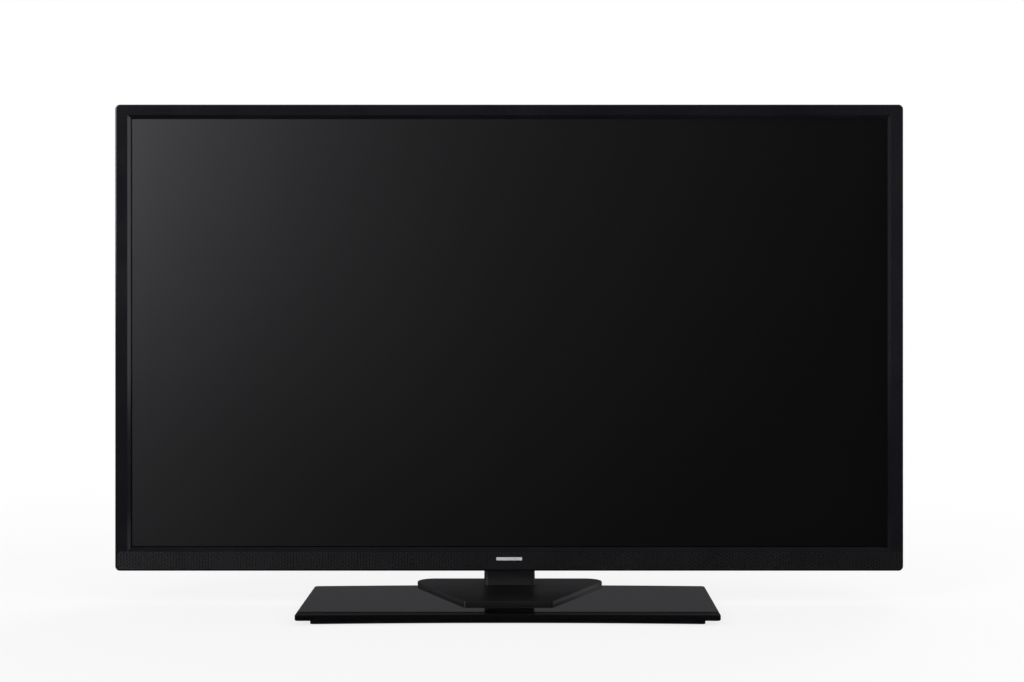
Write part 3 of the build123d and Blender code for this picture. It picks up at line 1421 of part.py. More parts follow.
save(stand_plate, "stand_plate")

with BuildPart() as neck_cover:
    neck_top_z = bulge_bottom_z + bulge_bottom_draft + neck_reach
    with BuildSketch(Plane.XY.offset(plate_top_z)):
        with Locations((0, depth_y(neck_front_depth + neck_depth / 2))):
            RectangleRounded(neck_width, neck_depth, neck_corner)
            RectangleRounded(neck_width - 2 * neck_wall, neck_depth - 2 * neck_wall,
                             neck_corner - neck_wall, mode=Mode.SUBTRACT)
    extrude(amount=neck_top_z - plate_top_z)
save(neck_cover, "neck_cover")

with BuildPart() as neck_core:
    block((-core_width / 2 - core_foot_side, core_width / 2 + core_foot_side),
          (core_foot_front_depth, core_foot_back_depth),
          (plate_bottom_z, plate_bottom_z + core_foot_thickness))
    block((-core_width / 2, core_width / 2), (core_front, core_front + core_side_depth),
          (plate_bottom_z, core_top_z))
    block((-core_width / 2 + core_steel, core_width / 2 - core_steel),
          (core_front + core_steel, core_front + core_side_depth + overrun),
          (plate_bottom_z + core_foot_thickness, core_top_z + overrun), mode=Mode.SUBTRACT)
    for x, z in neck_screw_places:
        rod(x, z, (core_front - overrun, core_front + core_steel + overrun),
            stand_screw_radius + stand_hole_gap, mode=Mode.SUBTRACT)
    for x, depth in foot_screw_places:
        upright_rod(x, depth, (plate_bottom_z - overrun, plate_bottom_z + core_foot_thickness + overrun),
                    stand_screw_radius + stand_thread_gap, mode=Mode.SUBTRACT)
save(neck_core, "neck_core")

with BuildPart() as stand_bracket:
    z = (bracket_bottom_z, core_top_z)
    for k in (-1, 1):
        block((k * bracket_hat_width / 2, k * (bracket_hat_width / 2 + bracket_foot_width)),
              (bracket_front, bracket_front + bracket_steel), z)
        block((k * (bracket_hat_width / 2 - bracket_steel), k * bracket_hat_width / 2),
              (bracket_front, core_front), z)
    block((-bracket_hat_width / 2, bracket_hat_width / 2), (core_front - bracket_steel, core_front), z)
    for x, z in neck_screw_places:
        rod(x, z, (core_front - bracket_steel - bracket_nut, core_front - bracket_steel), stand_head_radius)
        rod(x, z, (bracket_front + bracket_steel, core_front + overrun),
            stand_screw_radius + stand_thread_gap, mode=Mode.SUBTRACT)
    for x, z in bracket_screw_places:
        rod(x, z, (bracket_front - overrun, bracket_front + 2 * bracket_steel), bracket_pilot_radius,
            mode=Mode.SUBTRACT)
save(stand_bracket, "stand_bracket")

with BuildPart() as bracket_screws:
    for x, z in bracket_screw_places:
        head_seat = bracket_front + bracket_steel
        rod(x, z, (head_seat, head_seat + bracket_head_height), bracket_head_radius)
        rod(x, z, (pan_back - steel, head_seat), bracket_screw_radius)
save(bracket_screws, "bracket_screws")

with BuildPart() as stand_screws:
    for x, z in neck_screw_places:
        head_seat = core_front + core_steel
        rod(x, z, (head_seat, head_seat + stand_head_height), stand_head_radius)
        rod(x, z, (core_front - bracket_steel - bracket_nut, head_seat), stand_screw_radius)
    for x, depth in foot_screw_places:
        head_seat = tray_bottom_z + foot_head_sink
        upright_rod(x, depth, (head_seat - stand_head_height, head_seat), stand_head_radius)
        upright_rod(x, depth, (head_seat, plate_bottom_z + core_foot_thickness), stand_screw_radius)
save(stand_screws, "stand_screws")
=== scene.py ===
import bpy
import bmesh
import json
import math
from mathutils import Matrix, Vector


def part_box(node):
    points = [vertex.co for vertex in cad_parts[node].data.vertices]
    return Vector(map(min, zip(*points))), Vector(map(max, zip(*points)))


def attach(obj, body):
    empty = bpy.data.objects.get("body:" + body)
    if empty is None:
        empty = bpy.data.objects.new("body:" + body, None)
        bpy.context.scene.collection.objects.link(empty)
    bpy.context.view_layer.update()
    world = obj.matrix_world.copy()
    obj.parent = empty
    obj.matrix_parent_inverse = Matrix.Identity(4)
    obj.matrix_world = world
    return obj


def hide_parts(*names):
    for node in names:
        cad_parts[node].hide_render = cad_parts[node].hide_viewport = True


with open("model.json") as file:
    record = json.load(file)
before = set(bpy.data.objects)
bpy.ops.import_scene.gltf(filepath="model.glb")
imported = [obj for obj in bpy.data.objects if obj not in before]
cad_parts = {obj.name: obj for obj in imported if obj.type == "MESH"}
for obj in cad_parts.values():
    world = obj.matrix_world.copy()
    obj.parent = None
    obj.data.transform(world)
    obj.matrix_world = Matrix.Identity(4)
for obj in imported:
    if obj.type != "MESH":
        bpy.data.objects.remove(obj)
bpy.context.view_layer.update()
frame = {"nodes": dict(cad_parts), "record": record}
millimetre = 0.001
setBody = "television"
print("frame loaded:", len(frame["nodes"]), "nodes")


def linear(hexColour):
    # sRGB hex to the linear values that the shaders take
    values = [int(hexColour[i:i + 2], 16) / 255 for i in (1, 3, 5)]
    return tuple(v / 12.92 if v <= 0.04045 else ((v + 0.055) / 1.055) ** 2.4 for v in values) + (1.0,)


def addNode(tree, kind, settings=None, inputs=None, links=None):
    # One node, its settings, its input values, and links as {input: (node, output)}
    node = tree.nodes.new(kind)
    for name, value in (settings or {}).items():
        setattr(node, name, value)
    for name, value in (inputs or {}).items():
        node.inputs[name].default_value = value
    for name, (source, output) in (links or {}).items():
        tree.links.new(source.outputs[output], node.inputs[name])
    return node


def startMaterial(name):
    material = bpy.data.materials.new(name)
    material.use_nodes = True
    tree = material.node_tree
    shader = tree.nodes["Principled BSDF"]
    place = addNode(tree, "ShaderNodeTexCoord")
    return material, tree, shader, place


# Noise behind each pattern: detail is its finer steps, span the part of its range that the change takes
patterns = {
    "grain": {"detail": 2.0},
    "gloss": {"detail": 3.0, "span": (0.3, 0.7)},
    "tone": {"detail": 4.0, "span": (0.35, 0.65)},
}


def grain(tree, shader, place, size, strength, depth):
    # Surface grain as a bump: size is the spacing of the grain in millimetres, depth its height
    noise = addNode(tree, "ShaderNodeTexNoise",
                    inputs={"Scale": 1 / (size * millimetre), "Detail": patterns["grain"]["detail"]},
                    links={"Vector": (place, "Object")})
    bump = addNode(tree, "ShaderNodeBump",
                   inputs={"Strength": strength, "Distance": depth * millimetre},
                   links={"Height": (noise, "Fac")})
    tree.links.new(bump.outputs["Normal"], shader.inputs["Normal"])


def cloudyRoughness(tree, shader, place, size, low, high):
    # Slow change of gloss across the surface, as handling and moulding leave it
    noise = addNode(tree, "ShaderNodeTexNoise",
                    inputs={"Scale": 1 / (size * millimetre), "Detail": patterns["gloss"]["detail"]},
                    links={"Vector": (place, "Object")})
    start, end = patterns["gloss"]["span"]
    spread = addNode(tree, "ShaderNodeMapRange",
                     inputs={"From Min": start, "From Max": end, "To Min": low, "To Max": high},
                     links={"Value": (noise, "Fac")})
    tree.links.new(spread.outputs["Result"], shader.inputs["Roughness"])


def mottle(tree, shader, place, size, hexColours):
    # Slight colour change between two close tones
    noise = addNode(tree, "ShaderNodeTexNoise",
                    inputs={"Scale": 1 / (size * millimetre), "Detail": patterns["tone"]["detail"]},
                    links={"Vector": (place, "Object")})
    ramp = addNode(tree, "ShaderNodeValToRGB", links={"Fac": (noise, "Fac")})
    stops = zip(ramp.color_ramp.elements, patterns["tone"]["span"], hexColours)
    for stop, position, hexColour in stops:
        stop.position = position
        stop.color = linear(hexColour)
    tree.links.new(ramp.outputs["Color"], shader.inputs["Base Color"])


def surface(name, hexColours, roughness, tone, gloss, grainSize, grainStrength, grainDepth):
    # tone, gloss and grainSize are the spacings of the three patterns in millimetres
    material, tree, shader, place = startMaterial(name)
    mottle(tree, shader, place, tone, hexColours)
    cloudyRoughness(tree, shader, place, gloss, *roughness)
    if grainSize:
        grain(tree, shader, place, grainSize, grainStrength, grainDepth)
    return material, shader


def plastic(name, firstHex, secondHex, roughness, ior=1.53, grainSize=None, grainStrength=0.1,
            grainDepth=0.01, tone=40.0, gloss=60.0):
    material, shader = surface(name, (firstHex, secondHex), roughness, tone, gloss,
                               grainSize, grainStrength, grainDepth)
    shader.inputs["IOR"].default_value = ior
    return material


def metal(name, firstHex, secondHex, roughness, tone=12.0, grainSize=None):
    material, shader = surface(name, (firstHex, secondHex), roughness, tone, tone,
                               grainSize, grainStrength=0.1, grainDepth=0.005)
    shader.inputs["Metallic"].default_value = 1.0
    return material


# Sizes of patterns are in millimetres. Clouds and ripples are as wide as on real parts; fine grain is
# some three times coarser than life, 0.3 to 0.9 mm apart, so that it shows

# ABS moulded in a polished mould: deep black with a clear gloss, softened by a 6 mm ripple
polishedAbs = plastic("polishedMouldedAbs", "#131217", "#161519", (0.13, 0.19), grainSize=6.0,
                      grainStrength=0.05)
# ABS from a spark-eroded mould: the eye sees a fine matt grain, coarser than life at 0.9 mm
grainedAbs = plastic("sparkGrainedAbs", "#1f1f21", "#242426", (0.52, 0.58), grainSize=0.9,
                     grainStrength=0.35, grainDepth=0.06, gloss=200.0)
# ABS strip from an etched mould: a satin web between rows of round pits, which are modelled
pittedAbs = plastic("etchedPittedAbs", "#17171a", "#1b1b1e", (0.30, 0.38))
# The same ABS down in the pits, matt and coloured darker than the web: painted shade for the depth of the
# pits
pitPaintedShade = plastic("pitPaintedShadeAbs", "#070708", "#0a0a0b", (0.70, 0.80))
# Silver hot-stamped foil under clear lacquer: a pale even bar
stampedFoil = plastic("hotStampedSilverFoil", "#d2d3d6", "#dddee0", (0.30, 0.40), ior=1.50,
                      grainSize=0.5, grainStrength=0.08, tone=6.0)
# Triacetate film with an anti-glare coat: it spreads each reflection into a soft glow
screenFilm = plastic("antiGlareTriacetateFilm", "#020203", "#030304", (0.40, 0.43), ior=1.49,
                     grainSize=0.35, grainStrength=0.04, tone=300.0, gloss=400.0)
# Soda-lime glass, polished and black from below: clear reflections on a deep ground
blackGlass = plastic("polishedBlackGlass", "#0b0b0c", "#0d0d0e", (0.02, 0.04), ior=1.52, tone=200.0)
# ABS from a finely blasted mould: a satin black that spreads what it reflects
satinAbs = plastic("satinBlastedAbs", "#0b0b0d", "#0f0f11", (0.40, 0.48), ior=1.50, grainSize=0.8,
                   grainStrength=0.12, grainDepth=0.02)
# The neck's ABS is painted a tone lighter: painted light that makes up for the shade the cabinet casts on it
neckAbsPaintedLighter = plastic("neckAbsLightenedAgainstShade", "#2e2e31", "#343437", (0.42, 0.50), ior=1.50, grainSize=0.8,
                  grainStrength=0.12, grainDepth=0.02)
# Closed-cell foam, mostly air, so its IOR is near one; it also colours the black strip of painted shade
# under the picture
blackFoamAndGapShade = plastic("closedCellBlackFoamAndGapShade", "#040405", "#060607", (0.85, 0.95), ior=1.10, grainSize=0.5)
# Rubber from a dull mould: dark grey without a clear highlight
naturalRubber = plastic("mouldedRubber", "#17171a", "#1f1f21", (0.75, 0.85), ior=1.52, grainSize=0.6)
# ABS as moulded, for parts that nobody polishes: black with a broad sheen
blackAbs = plastic("mouldedBlackAbs", "#18181a", "#1e1e20", (0.38, 0.48), grainSize=0.7)
# Filled polycarbonate: an even warm white
whitePolycarbonate = plastic("mouldedWhitePolycarbonate", "#e4e4e2", "#ececea", (0.35, 0.45), ior=1.58)
# Acrylic lenses and posts: pale, with small sharp highlights
clearAcrylic = plastic("mouldedClearAcrylic", "#dcdedd", "#e4e6e5", (0.06, 0.10), ior=1.49)
# Zinc-plated sheet: cool grey with cloudy patches of gloss
zincSteel = metal("zincPlatedSteel", "#9fa3a8", "#b4b7ba", (0.30, 0.42), tone=9.0, grainSize=1.5)
# Nickel plate on the socket shells: smoother than zinc, and warmer
nickelSteel = metal("nickelPlatedSteel", "#b3afa8", "#c1beb8", (0.22, 0.32), tone=4.0)
# Blackened steel: dark screws whose edges still glint
blackenedSteel = metal("blackenedSteel", "#2c2c2e", "#38383a", (0.34, 0.44), tone=3.0)
# Brass with fine turning marks: a yellow ring inside each mount boss
turnedBrass = metal("turnedBrass", "#b5964e", "#c9ac66", (0.22, 0.34), tone=3.0, grainSize=0.3)
# Solder mask over copper: deep green with a slight ripple
solderMask = plastic("greenSolderMask", "#0d3a22", "#124a2b", (0.30, 0.42), ior=1.50, grainSize=2.5,
                     tone=3.0)
# Polyimide film over copper tracks: a glossy amber
amberFilm = plastic("amberPolyimideFilm", "#9a5c14", "#b0701f", (0.30, 0.36), ior=1.60)
# Pad-printed ink: thin pale grey marks
printedInk = plastic("padPrintedInk", "#a9aaad", "#b2b3b6", (0.45, 0.55), ior=1.48, tone=3.0)
# Anodised heatsinks: near black, with a metal's broad soft highlight
anodisedBlack = metal("blackAnodisedAluminium", "#1c1c1e", "#242426", (0.40, 0.50))
# Polyester tape round the transformers: a strong yellow with a plain gloss
polyesterTape = plastic("yellowPolyesterTape", "#b78d1f", "#c79c2c", (0.30, 0.40), ior=1.57)
# Pressed paper: a dull fibrous cone
paperCone = plastic("pressedPaperCone", "#1d1c1b", "#262524", (0.80, 0.90), ior=1.50, grainSize=0.8)

slotMaterials = {
    "black_gloss": polishedAbs, "black_strip": pittedAbs, "badge_metal": stampedFoil,
    "cover_plastic": grainedAbs, "screen_film": screenFilm, "cell_glass": blackGlass, "foam": blackFoamAndGapShade,
    "white_plastic": whitePolycarbonate, "black_plastic": blackAbs, "clear_plastic": clearAcrylic,
    "diffuser_white": whitePolycarbonate, "zinc_steel": zincSteel, "screw_steel": blackenedSteel,
    "brass_boss": turnedBrass, "board_green": solderMask, "board_white": whitePolycarbonate,
    "film_amber": amberFilm, "cable_white": whitePolycarbonate, "black_aluminium": anodisedBlack,
    "socket_metal": nickelSteel, "transformer_tape": polyesterTape, "capacitor_sleeve": blackAbs,
    "wire_black": blackAbs, "cone_paper": paperCone, "surround_rubber": naturalRubber,
    "foot_rubber": naturalRubber, "black_glass": blackGlass, "satin_black": satinAbs,
}
nodeSlots = {part["node"]: part["material_slot"] for part in frame["record"]["subparts"]}
for nodeName, cadObject in frame["nodes"].items():
    cadObject.data.materials.clear()
    cadObject.data.materials.append(slotMaterials[nodeSlots[nodeName]])
# The neck takes the lighter copy: painted light against the cabinet's shade
frame["nodes"]["neck_cover"].data.materials[0] = neckAbsPaintedLighter
print("materials on", len(frame["nodes"]), "nodes")


def newPiece(name, mesh, material, body=setBody):
    piece = bpy.data.objects.new(name, mesh)
    bpy.context.scene.collection.objects.link(piece)
    piece.data.materials.append(material)
    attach(piece, body)
    return piece


def finishMesh(name, form):
    # Faces turned outwards, and the form handed over as a mesh
    bmesh.ops.recalc_face_normals(form, faces=form.faces)
    mesh = bpy.data.meshes.new(name)
    form.to_mesh(mesh)
    form.free()
    return mesh


# Strip along the chin: its front is covered in staggered pits
# mm, and shares of the pitch; the pitch is half as coarse again as life, so that the pits show
stripSizes = {"pitch": 3.4, "mouth": 0.78, "floor": 0.66, "depth": 0.7}
pitSides = 8  # a rim point towards each corner of the pit's field, and one between each two


def buildStrip(sizes):
    low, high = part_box("grille_strip")
    pitch = sizes["pitch"] * millimetre
    columns = int((high.x - low.x) / pitch)
    rows = int((high.z - low.z) / pitch)
    stepX = (high.x - low.x) / columns
    stepZ = (high.z - low.z) / rows
    depth = sizes["depth"] * millimetre
    lines = 2 * rows + 1  # grid points up each line, half a row apart
    verts, faces, pits = [], [], []
    for i in range(columns + 1):
        for j in range(lines):
            verts.append((low.x + i * stepX, low.y, low.z + j * stepZ / 2))

    def ring(centreX, centreZ, share, y):
        start = len(verts)
        for k in range(pitSides):
            turn = math.pi * (2 * k / pitSides - 0.75)  # from the lower left corner on
            verts.append((centreX + share * stepX / 2 * math.cos(turn), y,
                          centreZ + share * stepZ / 2 * math.sin(turn)))
        return [start + k for k in range(pitSides)]

    for i in range(columns):
        left, right = i * lines, (i + 1) * lines
        first = i % 2
        if first:  # every second column stands half a row higher, with a plain half row at each end
            faces.append((left, right, right + 1, left + 1))
            faces.append((left + lines - 2, right + lines - 2, right + lines - 1, left + lines - 1))
        for j in range(first, lines - 2, 2):
            centreX, centreZ = low.x + (i + 0.5) * stepX, low.z + (j + 1) * stepZ / 2
            rim = ring(centreX, centreZ, sizes["mouth"], low.y)
            floor = ring(centreX, centreZ, sizes["floor"], low.y + depth)
            faces += [(left + j, right + j, rim[2], rim[1], rim[0]),
                      (right + j, right + j + 1, rim[3], rim[2]),
                      (right + j + 1, right + j + 2, rim[4], rim[3]),
                      (right + j + 2, left + j + 2, rim[6], rim[5], rim[4]),
                      (left + j + 2, left + j + 1, rim[7], rim[6]),
                      (left + j + 1, left + j, rim[0], rim[7])]
            firstInPit = len(faces)
            for k in range(pitSides):
                following = (k + 1) % pitSides
                faces.append((rim[k], rim[following], floor[following], floor[k]))
            faces.append(tuple(floor))
            pits += range(firstInPit, len(faces))
    back = len(verts)
    corners = ((low.x, low.z), (high.x, low.z), (high.x, high.z), (low.x, high.z))
    verts += [(x, high.y, z) for x, z in corners]
    faces.append((back + 3, back + 2, back + 1, back))
    last = columns * lines
    border = ([i * lines for i in range(columns + 1)], [last + j for j in range(lines)],
              [i * lines + lines - 1 for i in range(columns, -1, -1)], list(range(lines - 1, -1, -1)))
    for k, line in enumerate(border):
        faces.append(tuple(reversed(line)) + (back + k, back + (k + 1) % 4))
    mesh = bpy.data.meshes.new("chinStrip")
    mesh.from_pydata(verts, [], faces)
    # the pit walls and floors take the second material, whose darker colour is painted shade
    for k in pits:
        mesh.polygons[k].material_index = 1
    mesh.update()
    return mesh


chinStrip = newPiece("chinStrip", buildStrip(stripSizes), pittedAbs)
# second material: the painted shade in the pits
chinStrip.data.materials.append(pitPaintedShade)
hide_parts("grille_strip")
print("strip done")

# Thin black strip under the picture, above the lower slope: painted shade for the dark gap between the panel
# and the bezel
# mm; inset is from the seal's outer edge to the opening of the bezel
gapShadeStripSizes = {"inset": 3.8, "height": 1.2, "depth": 0.3}


def buildGapShadeStrip(sizes):
    inset, height, depth = (sizes[name] * millimetre for name in ("inset", "height", "depth"))
    low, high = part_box("front_gasket")
    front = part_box("front_polarizer")[0].y
    middle = Vector(((low.x + high.x) / 2, front - depth / 2, low.z + inset + height / 2))
    form = bmesh.new()
    bmesh.ops.create_cube(form, size=1)
    matrix = Matrix.LocRotScale(middle, None, Vector((high.x - low.x - 2 * inset, depth, height)))
    bmesh.ops.transform(form, verts=form.verts, matrix=matrix)
    return finishMesh("gapShadeStrip", form)


# a black strip on the film's face: painted shade of the gap under the bezel
newPiece("gapShadeStrip", buildGapShadeStrip(gapShadeStripSizes), blackFoamAndGapShade)
print("seal line done")

# The photo's side borders reach two pixels further in than the solids' do: two strips make up for it
# mm; slope is the width and depth of the bezel's own slope, flat the part of it that stays free
borderSizes = {"inset": 3.8, "slope": 4.2, "flat": 3.0, "reach": 2.0, "filmGap": 0.2}


def buildBorders(sizes):
    names = ("inset", "slope", "flat", "reach", "filmGap")
    inset, slope, flat, reach, filmGap = (sizes[name] * millimetre for name in names)
    low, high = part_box("front_gasket")
    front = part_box("front_bezel")[0].y
    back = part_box("front_polarizer")[0].y - filmGap
    edge = high.x - inset
    outer, inner = edge + slope, edge - reach
    width = outer - flat - inner
    profile = [(outer, front, slope), (outer - flat, front, slope),  # x, y, and growth at both ends
               (inner, front + width, slope - width), (inner, back, 0), (edge, back, 0)]
    form = bmesh.new()
    for side in (-1, 1):
        ends = [[form.verts.new((side * x, y, z + up * grow)) for x, y, grow in profile]
                for z, up in ((low.z + inset, -1), (high.z - inset, 1))]
        for k in range(len(profile)):
            form.faces.new((ends[0][k - 1], ends[0][k], ends[1][k], ends[1][k - 1]))
        for end in ends:
            form.faces.new(end)
    return finishMesh("sideBorders", form)


sideBorders = newPiece("sideBorders", buildBorders(borderSizes), polishedAbs)
print("side borders done")


def islands(node):
    # Lowest and highest corner of each separate solid in a CAD node
    mesh = frame["nodes"][node].data
    links = [[] for _ in mesh.vertices]
    for edge in mesh.edges:
        a, b = edge.vertices
        links[a].append(b)
        links[b].append(a)
    seen, boxes = set(), []
    for start in range(len(links)):
        if start in seen:
            continue
        seen.add(start)
        group, waiting = [], [start]
        while waiting:
            at = waiting.pop()
            group.append(mesh.vertices[at].co)
            for other in links[at]:
                if other not in seen:
                    seen.add(other)
                    waiting.append(other)
        boxes.append(tuple(Vector([pick(co[k] for co in group) for k in range(3)]) for pick in (min, max)))
    return boxes


# Screws: pan heads with a cross recess, and a thread on the shank; millimetres
caseScrewSizes = {"headHeight": 1.9, "shank": 1.35, "pitch": 0.9}
standScrewSizes = {"headHeight": 2.6, "shank": 2.35, "pitch": 0.8}
screwShares = {
    "head": ((0.84, 0), (0.95, 0.1), (1, 0.28), (1, 1)),  # outline, of the head's radius and height
    "root": 0.84, "tip": 0.5,  # of the shank's radius
    "armReach": 0.56, "armHalf": 0.13,  # cross recess, of the head's radius
    "taper": 0.7, "recess": 0.6,  # its floor, of its mouth, and its depth, of the head's height
}
screwSteps = 24  # points round a screw


def screwForm(form, sizes, radius, length, matrix):
    # Head's top at the origin, shank along -Z; then moved to its place
    height, shank, pitch = (sizes[name] * millimetre for name in ("headHeight", "shank", "pitch"))
    profile = [(reach * radius, -depth * height) for reach, depth in screwShares["head"]]
    profile.append((shank, -height))
    for k in range(int((length - height) / pitch) - 1):
        profile += [(screwShares["root"] * shank, -height - (k + 0.5) * pitch),
                    (shank, -height - (k + 1) * pitch)]
    profile.append((screwShares["tip"] * shank, -length))
    turns = [2 * math.pi * k / screwSteps for k in range(screwSteps)]
    rings = [[form.verts.new((reach * math.cos(a), reach * math.sin(a), z)) for a in turns]
             for reach, z in profile]
    for upper, lower in zip(rings, rings[1:]):
        for k in range(screwSteps):
            n = (k + 1) % screwSteps
            form.faces.new((upper[k], lower[k], lower[n], upper[n]))
    form.faces.new(list(reversed(rings[-1])))
    arm, half = screwShares["armReach"] * radius, screwShares["armHalf"] * radius
    cross = [(arm, -half), (arm, half), (half, half), (half, arm), (-half, arm), (-half, half),
             (-arm, half), (-arm, -half), (-half, -half), (-half, -arm), (half, -arm), (half, -half)]
    taper, recess = screwShares["taper"], screwShares["recess"]
    rim = [form.verts.new((x, y, 0)) for x, y in cross]
    floor = [form.verts.new((taper * x, taper * y, -recess * height)) for x, y in cross]
    for k in range(len(cross)):
        n = (k + 1) % len(cross)
        form.faces.new((rim[k], rim[n], floor[n], floor[k]))
    form.faces.new(floor)
    border = [form.edges.get((ring[k], ring[(k + 1) % len(ring)])) for ring in (rings[0], rim)
              for k in range(len(ring))]
    bmesh.ops.triangle_fill(form, use_beauty=True, edges=border)
    made = [v for ring in rings for v in ring] + rim + floor
    bmesh.ops.transform(form, matrix=matrix, verts=made)


def buildScrews(name, node, sizes):
    form = bmesh.new()
    for low, high in islands(node):
        size, middle = high - low, (low + high) / 2
        if abs(size.x - size.z) < abs(size.x - size.y):  # as wide as it is high: along Y, head to the back
            top, turn, length = (middle.x, high.y, middle.z), -math.pi / 2, size.y
        else:  # upright, head below
            top, turn, length = (middle.x, middle.y, low.z), math.pi, size.z
        matrix = Matrix.Translation(top) @ Matrix.Rotation(turn, 4, "X")
        screwForm(form, sizes, size.x / 2, length, matrix)
    screws = newPiece(name, finishMesh(name, form), blackenedSteel)
    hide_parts(node)


buildScrews("caseScrews", "case_screws", caseScrewSizes)
buildScrews("standScrews", "stand_screws", standScrewSizes)
print("screws done")

# Marks on the keys: a ring with a bar, chevrons, and plus and minus, pad printed a little proud
markSizes = {"reach": 2.1, "line": 0.55, "proud": 0.08, "top": 0.9}  # mm; top is a share of the outline
ringMark = {"reach": 0.8, "opening": 40, "steps": 14}  # share of reach; degrees open beside the top
markBars = {  # bars as (from, to) in shares of the reach, along the key's width and height
    "key_power": [((0, 0.15), (0, 1.0))],
    "key_channel_up": [((-0.8, -0.45), (0, 0.45)), ((0, 0.45), (0.8, -0.45))],
    "key_channel_down": [((-0.8, 0.45), (0, -0.45)), ((0, -0.45), (0.8, 0.45))],
    "key_volume_up": [((-0.8, 0), (0.8, 0)), ((0, -0.8), (0, 0.8))],
    "key_volume_down": [((-0.8, 0), (0.8, 0))],
}


def ringPoint(k):
    opening, steps = ringMark["opening"], ringMark["steps"]
    turn = math.radians(90 + opening + (360 - 2 * opening) * k / steps)
    return ringMark["reach"] * math.cos(turn), ringMark["reach"] * math.sin(turn)


markBars["key_power"] += [(ringPoint(k), ringPoint(k + 1)) for k in range(ringMark["steps"])]


def buildMark(node, bars):
    low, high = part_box(node)
    middleY, middleZ = (low.y + high.y) / 2, (low.z + high.z) / 2
    reach, half = markSizes["reach"] * millimetre, markSizes["line"] * millimetre / 2
    layers = (1.0, high.x), (markSizes["top"], high.x + markSizes["proud"] * millimetre)
    verts, faces = [], []
    for (y0, z0), (y1, z1) in bars:
        along = Vector((y1 - y0, z1 - z0)).normalized() * half
        side = Vector((-along.y, along.x))
        outline = [(reach * y + a * along.x + b * side.x, reach * z + a * along.y + b * side.y)
                   for y, z, a, b in ((y0, z0, -1, -1), (y1, z1, 1, -1), (y1, z1, 1, 1), (y0, z0, -1, 1))]
        centreY, centreZ = (sum(values) / len(outline) for values in zip(*outline))
        start = len(verts)
        for share, x in layers:
            verts += [(x, middleY + centreY + share * (y - centreY),
                       middleZ + centreZ + share * (z - centreZ)) for y, z in outline]
        faces += [(start + k, start + (k + 1) % 4, start + 4 + (k + 1) % 4, start + 4 + k) for k in range(4)]
        faces += [tuple(start + 4 + k for k in range(4)), tuple(start + 3 - k for k in range(4))]
    mesh = bpy.data.meshes.new(node + "Mark")
    mesh.from_pydata(verts, [], faces)
    mesh.update()
    mark = newPiece(node + "Mark", mesh, printedInk, node)  # each key is a body of its own


for node, bars in markBars.items():
    buildMark(node, bars)
print("key marks done")

# Studio: pale floor, white surroundings, soft lamps, and cards that only reflections see
studio = {
    "floorHex": "#f6f6f6", "floorRoughness": 0.9, "floorSize": 12.0,
    "floorGlow": 0.8, "fadeStart": 0.45, "fadeEnd": 1.7,  # share of plain white, and metres from the middle
    "lampAim": (0, 0, 0.3), "worldLight": 0.62,
    "cardTint": (0.985, 0.985, 1.05, 1.0),  # linear, with daylight's trace of blue
}
lamps = {  # power in watts, then size and place in metres
    "keySoftbox": (40.0, 1.8, (-2.3, -3.1, 2.3)),
    "fillSoftbox": (40.0, 3.0, (2.6, -2.0, 2.6)),
    "rearSoftbox": (45.0, 2.0, (1.4, 2.8, 2.0)),
}
# A dark room in front, a softbox at the upper left, grey walls beside
cards = {  # brightness, then lowest and highest corner in metres
    "frontCard": (0.004, (-6, -4.5, 0.002), (6, -4.5, 5)),
    "middleCard": (0.11, (-1.1, -4.4, 0.002), (0.5, -4.4, 1.3)),  # the screen's faint middle glow
    "topBorderCard": (0.004, (-1.6, -4.35, 0.84), (0.55, -4.35, 1.18)),  # keeps the top border dark
    "rightBorderCard": (0.13, (1.22, -4.4, 0.002), (1.58, -4.4, 1.1)),  # lifts the right border
    "upperCard": (0.8, (-2.4, -4.4, 1.6), (0.2, -4.4, 3.0)),
    "floorCard": (0.006, (-4, -4.5, 0.0015), (4, 0.1, 0.0015)),
    "rearFloorCard": (0.10, (-1.6, 0.1, 0.0015), (1.6, 1.8, 0.0015)),
    "ceilingCard": (0.06, (-3.2, -4.5, 3.2), (3.2, 1.0, 3.2)),
    "rearCard": (0.10, (-1.6, 1.8, 0.0), (1.6, 1.8, 2.6)),
    "leftCard": (0.20, (-3.2, -4.5, 0.0), (-3.2, -1.4, 3.2)),
    "leftRearCard": (0.20, (-3.2, -1.4, 0.0), (-3.2, 3.0, 3.2)),
    "rightCard": (0.02, (3.2, -4.5, 0.0), (3.2, -1.4, 3.2)),
    "rightRearCard": (1.1, (3.2, -1.4, 0.0), (3.2, 3.0, 1.0)),  # the light line on the left slope
    "glowCard": (10.5, (-2.8, -1.9, 0.42), (-1.27, -1.9, 1.95)),  # the softbox on the screen's left
}
plainWhite = (1, 1, 1, 1)


def emission(name, level):
    material = bpy.data.materials.new(name)
    material.use_nodes = True
    tree = material.node_tree
    tree.nodes.clear()
    glow = addNode(tree, "ShaderNodeEmission", inputs={"Color": studio["cardTint"], "Strength": level})
    addNode(tree, "ShaderNodeOutputMaterial", links={"Surface": (glow, "Emission")})
    return material


def flatCard(name, low, high, material):
    # A rectangle that lies along two of the axes, so its corners share the third coordinate
    first, second = (k for k in range(3) if low[k] != high[k])
    corners = []
    for a, b in ((low, low), (high, low), (high, high), (low, high)):
        corner = list(low)
        corner[first], corner[second] = a[first], b[second]
        corners.append(corner)
    mesh = bpy.data.meshes.new(name)
    mesh.from_pydata(corners, [], [(0, 1, 2, 3)])
    card = bpy.data.objects.new(name, mesh)
    bpy.context.scene.collection.objects.link(card)
    card.data.materials.append(material)
    return card


def whereSeen(tree):
    # One for rays from the viewer, also by a reflection or through something clear; else nought
    rays = addNode(tree, "ShaderNodeLightPath")
    seen = addNode(tree, "ShaderNodeMath", {"operation": "MAXIMUM"},
                   links={0: (rays, "Is Camera Ray"), 1: (rays, "Is Glossy Ray")})
    return addNode(tree, "ShaderNodeMath", {"operation": "MAXIMUM"},
                   links={0: (seen, "Value"), 1: (rays, "Is Transmission Ray")})


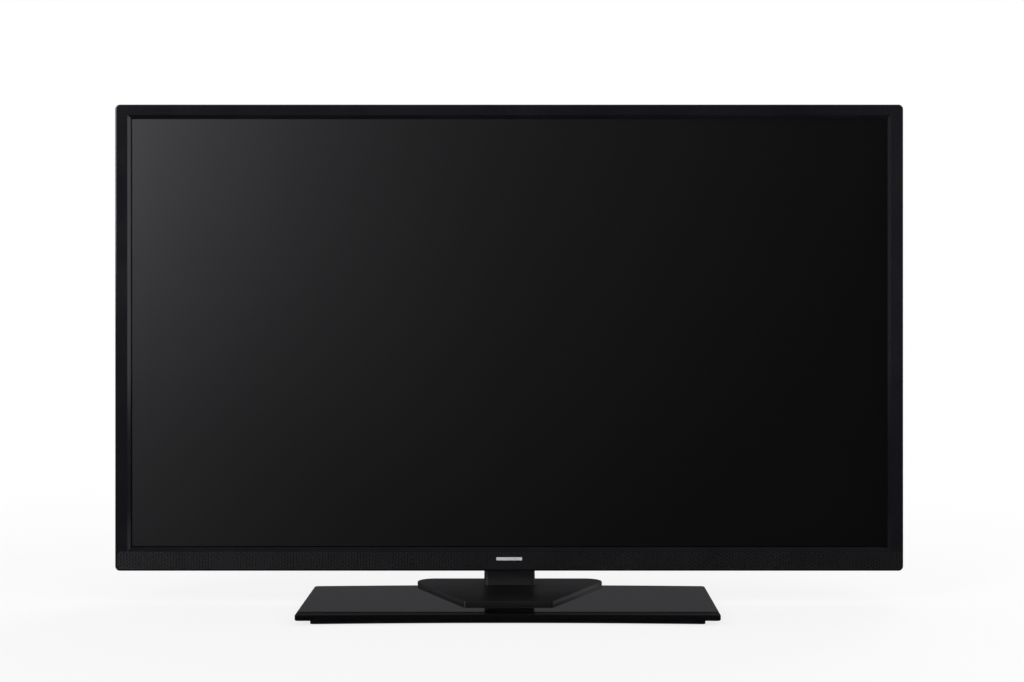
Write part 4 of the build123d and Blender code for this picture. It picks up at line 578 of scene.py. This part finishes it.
def buildFloor():
    # The lamps light it and the object shades it; further out it fades to plain white where it is seen
    material, tree, shader, place = startMaterial("paleStudioFloor")
    shader.inputs["Base Color"].default_value = linear(studio["floorHex"])
    shader.inputs["Roughness"].default_value = studio["floorRoughness"]
    away = addNode(tree, "ShaderNodeVectorMath", {"operation": "LENGTH"}, links={0: (place, "Object")})
    fade = addNode(tree, "ShaderNodeMapRange", {"interpolation_type": "SMOOTHSTEP"},
                   {"From Min": studio["fadeStart"], "From Max": studio["fadeEnd"],
                    "To Min": studio["floorGlow"]}, {"Value": (away, "Value")})
    share = addNode(tree, "ShaderNodeMath", {"operation": "MULTIPLY"},
                    links={0: (fade, "Result"), 1: (whereSeen(tree), "Value")})
    glow = addNode(tree, "ShaderNodeEmission", inputs={"Color": plainWhite, "Strength": 1.0})
    mixed = addNode(tree, "ShaderNodeMixShader",
                    links={0: (share, "Value"), 1: (shader, "BSDF"), 2: (glow, "Emission")})
    tree.links.new(mixed.outputs["Shader"], tree.nodes["Material Output"].inputs["Surface"])
    half = studio["floorSize"] / 2
    flatCard("studioFloor", (-half, -half, 0), (half, half, 0), material)


buildFloor()
for cardName, (level, low, high) in cards.items():
    card = flatCard(cardName, low, high, emission(cardName + "Tone", level))
    card.visible_camera = False
    card.visible_diffuse = False
    card.visible_shadow = False
    card.visible_transmission = False

for lampName, (power, size, place) in lamps.items():
    light = bpy.data.lights.new(lampName, "AREA")
    light.shape = "SQUARE"
    light.size = size
    light.energy = power
    lamp = bpy.data.objects.new(lampName, light)
    bpy.context.scene.collection.objects.link(lamp)
    lamp.location = place
    aim = Vector(studio["lampAim"]) - Vector(place)
    lamp.rotation_euler = aim.to_track_quat("-Z", "Y").to_euler()
    lamp.visible_glossy = False  # reflections come from the cards alone

world = bpy.data.worlds.new("studioWorld")
bpy.context.scene.world = world
world.use_nodes = True
tree = world.node_tree
tree.nodes.clear()
ambient = addNode(tree, "ShaderNodeBackground",
                  inputs={"Color": plainWhite, "Strength": studio["worldLight"]})
backdrop = addNode(tree, "ShaderNodeBackground", inputs={"Color": plainWhite, "Strength": 1.0})
choice = addNode(tree, "ShaderNodeMixShader", links={
    0: (whereSeen(tree), "Value"), 1: (ambient, "Background"), 2: (backdrop, "Background")})
addNode(tree, "ShaderNodeOutputWorld", links={"Surface": (choice, "Shader")})
bpy.context.scene.view_settings.view_transform = "Standard"
print("studio done")

# Camera as the photograph was taken: level, a little above the table and to the right of the middle
view = {"place": (0.0243, -2.0618, 0.375), "lens": 63.09, "sensor": 36.0, "shift": (-0.0176, -0.0583)}
cameraData = bpy.data.cameras.new("photoCamera")
cameraData.lens = view["lens"]
cameraData.sensor_width = view["sensor"]
cameraData.shift_x, cameraData.shift_y = view["shift"]
camera = bpy.data.objects.new("photoCamera", cameraData)
camera.location = view["place"]
camera.rotation_euler = (math.pi / 2, 0, 0)
bpy.context.scene.collection.objects.link(camera)
bpy.context.scene.camera = camera
print("camera done")
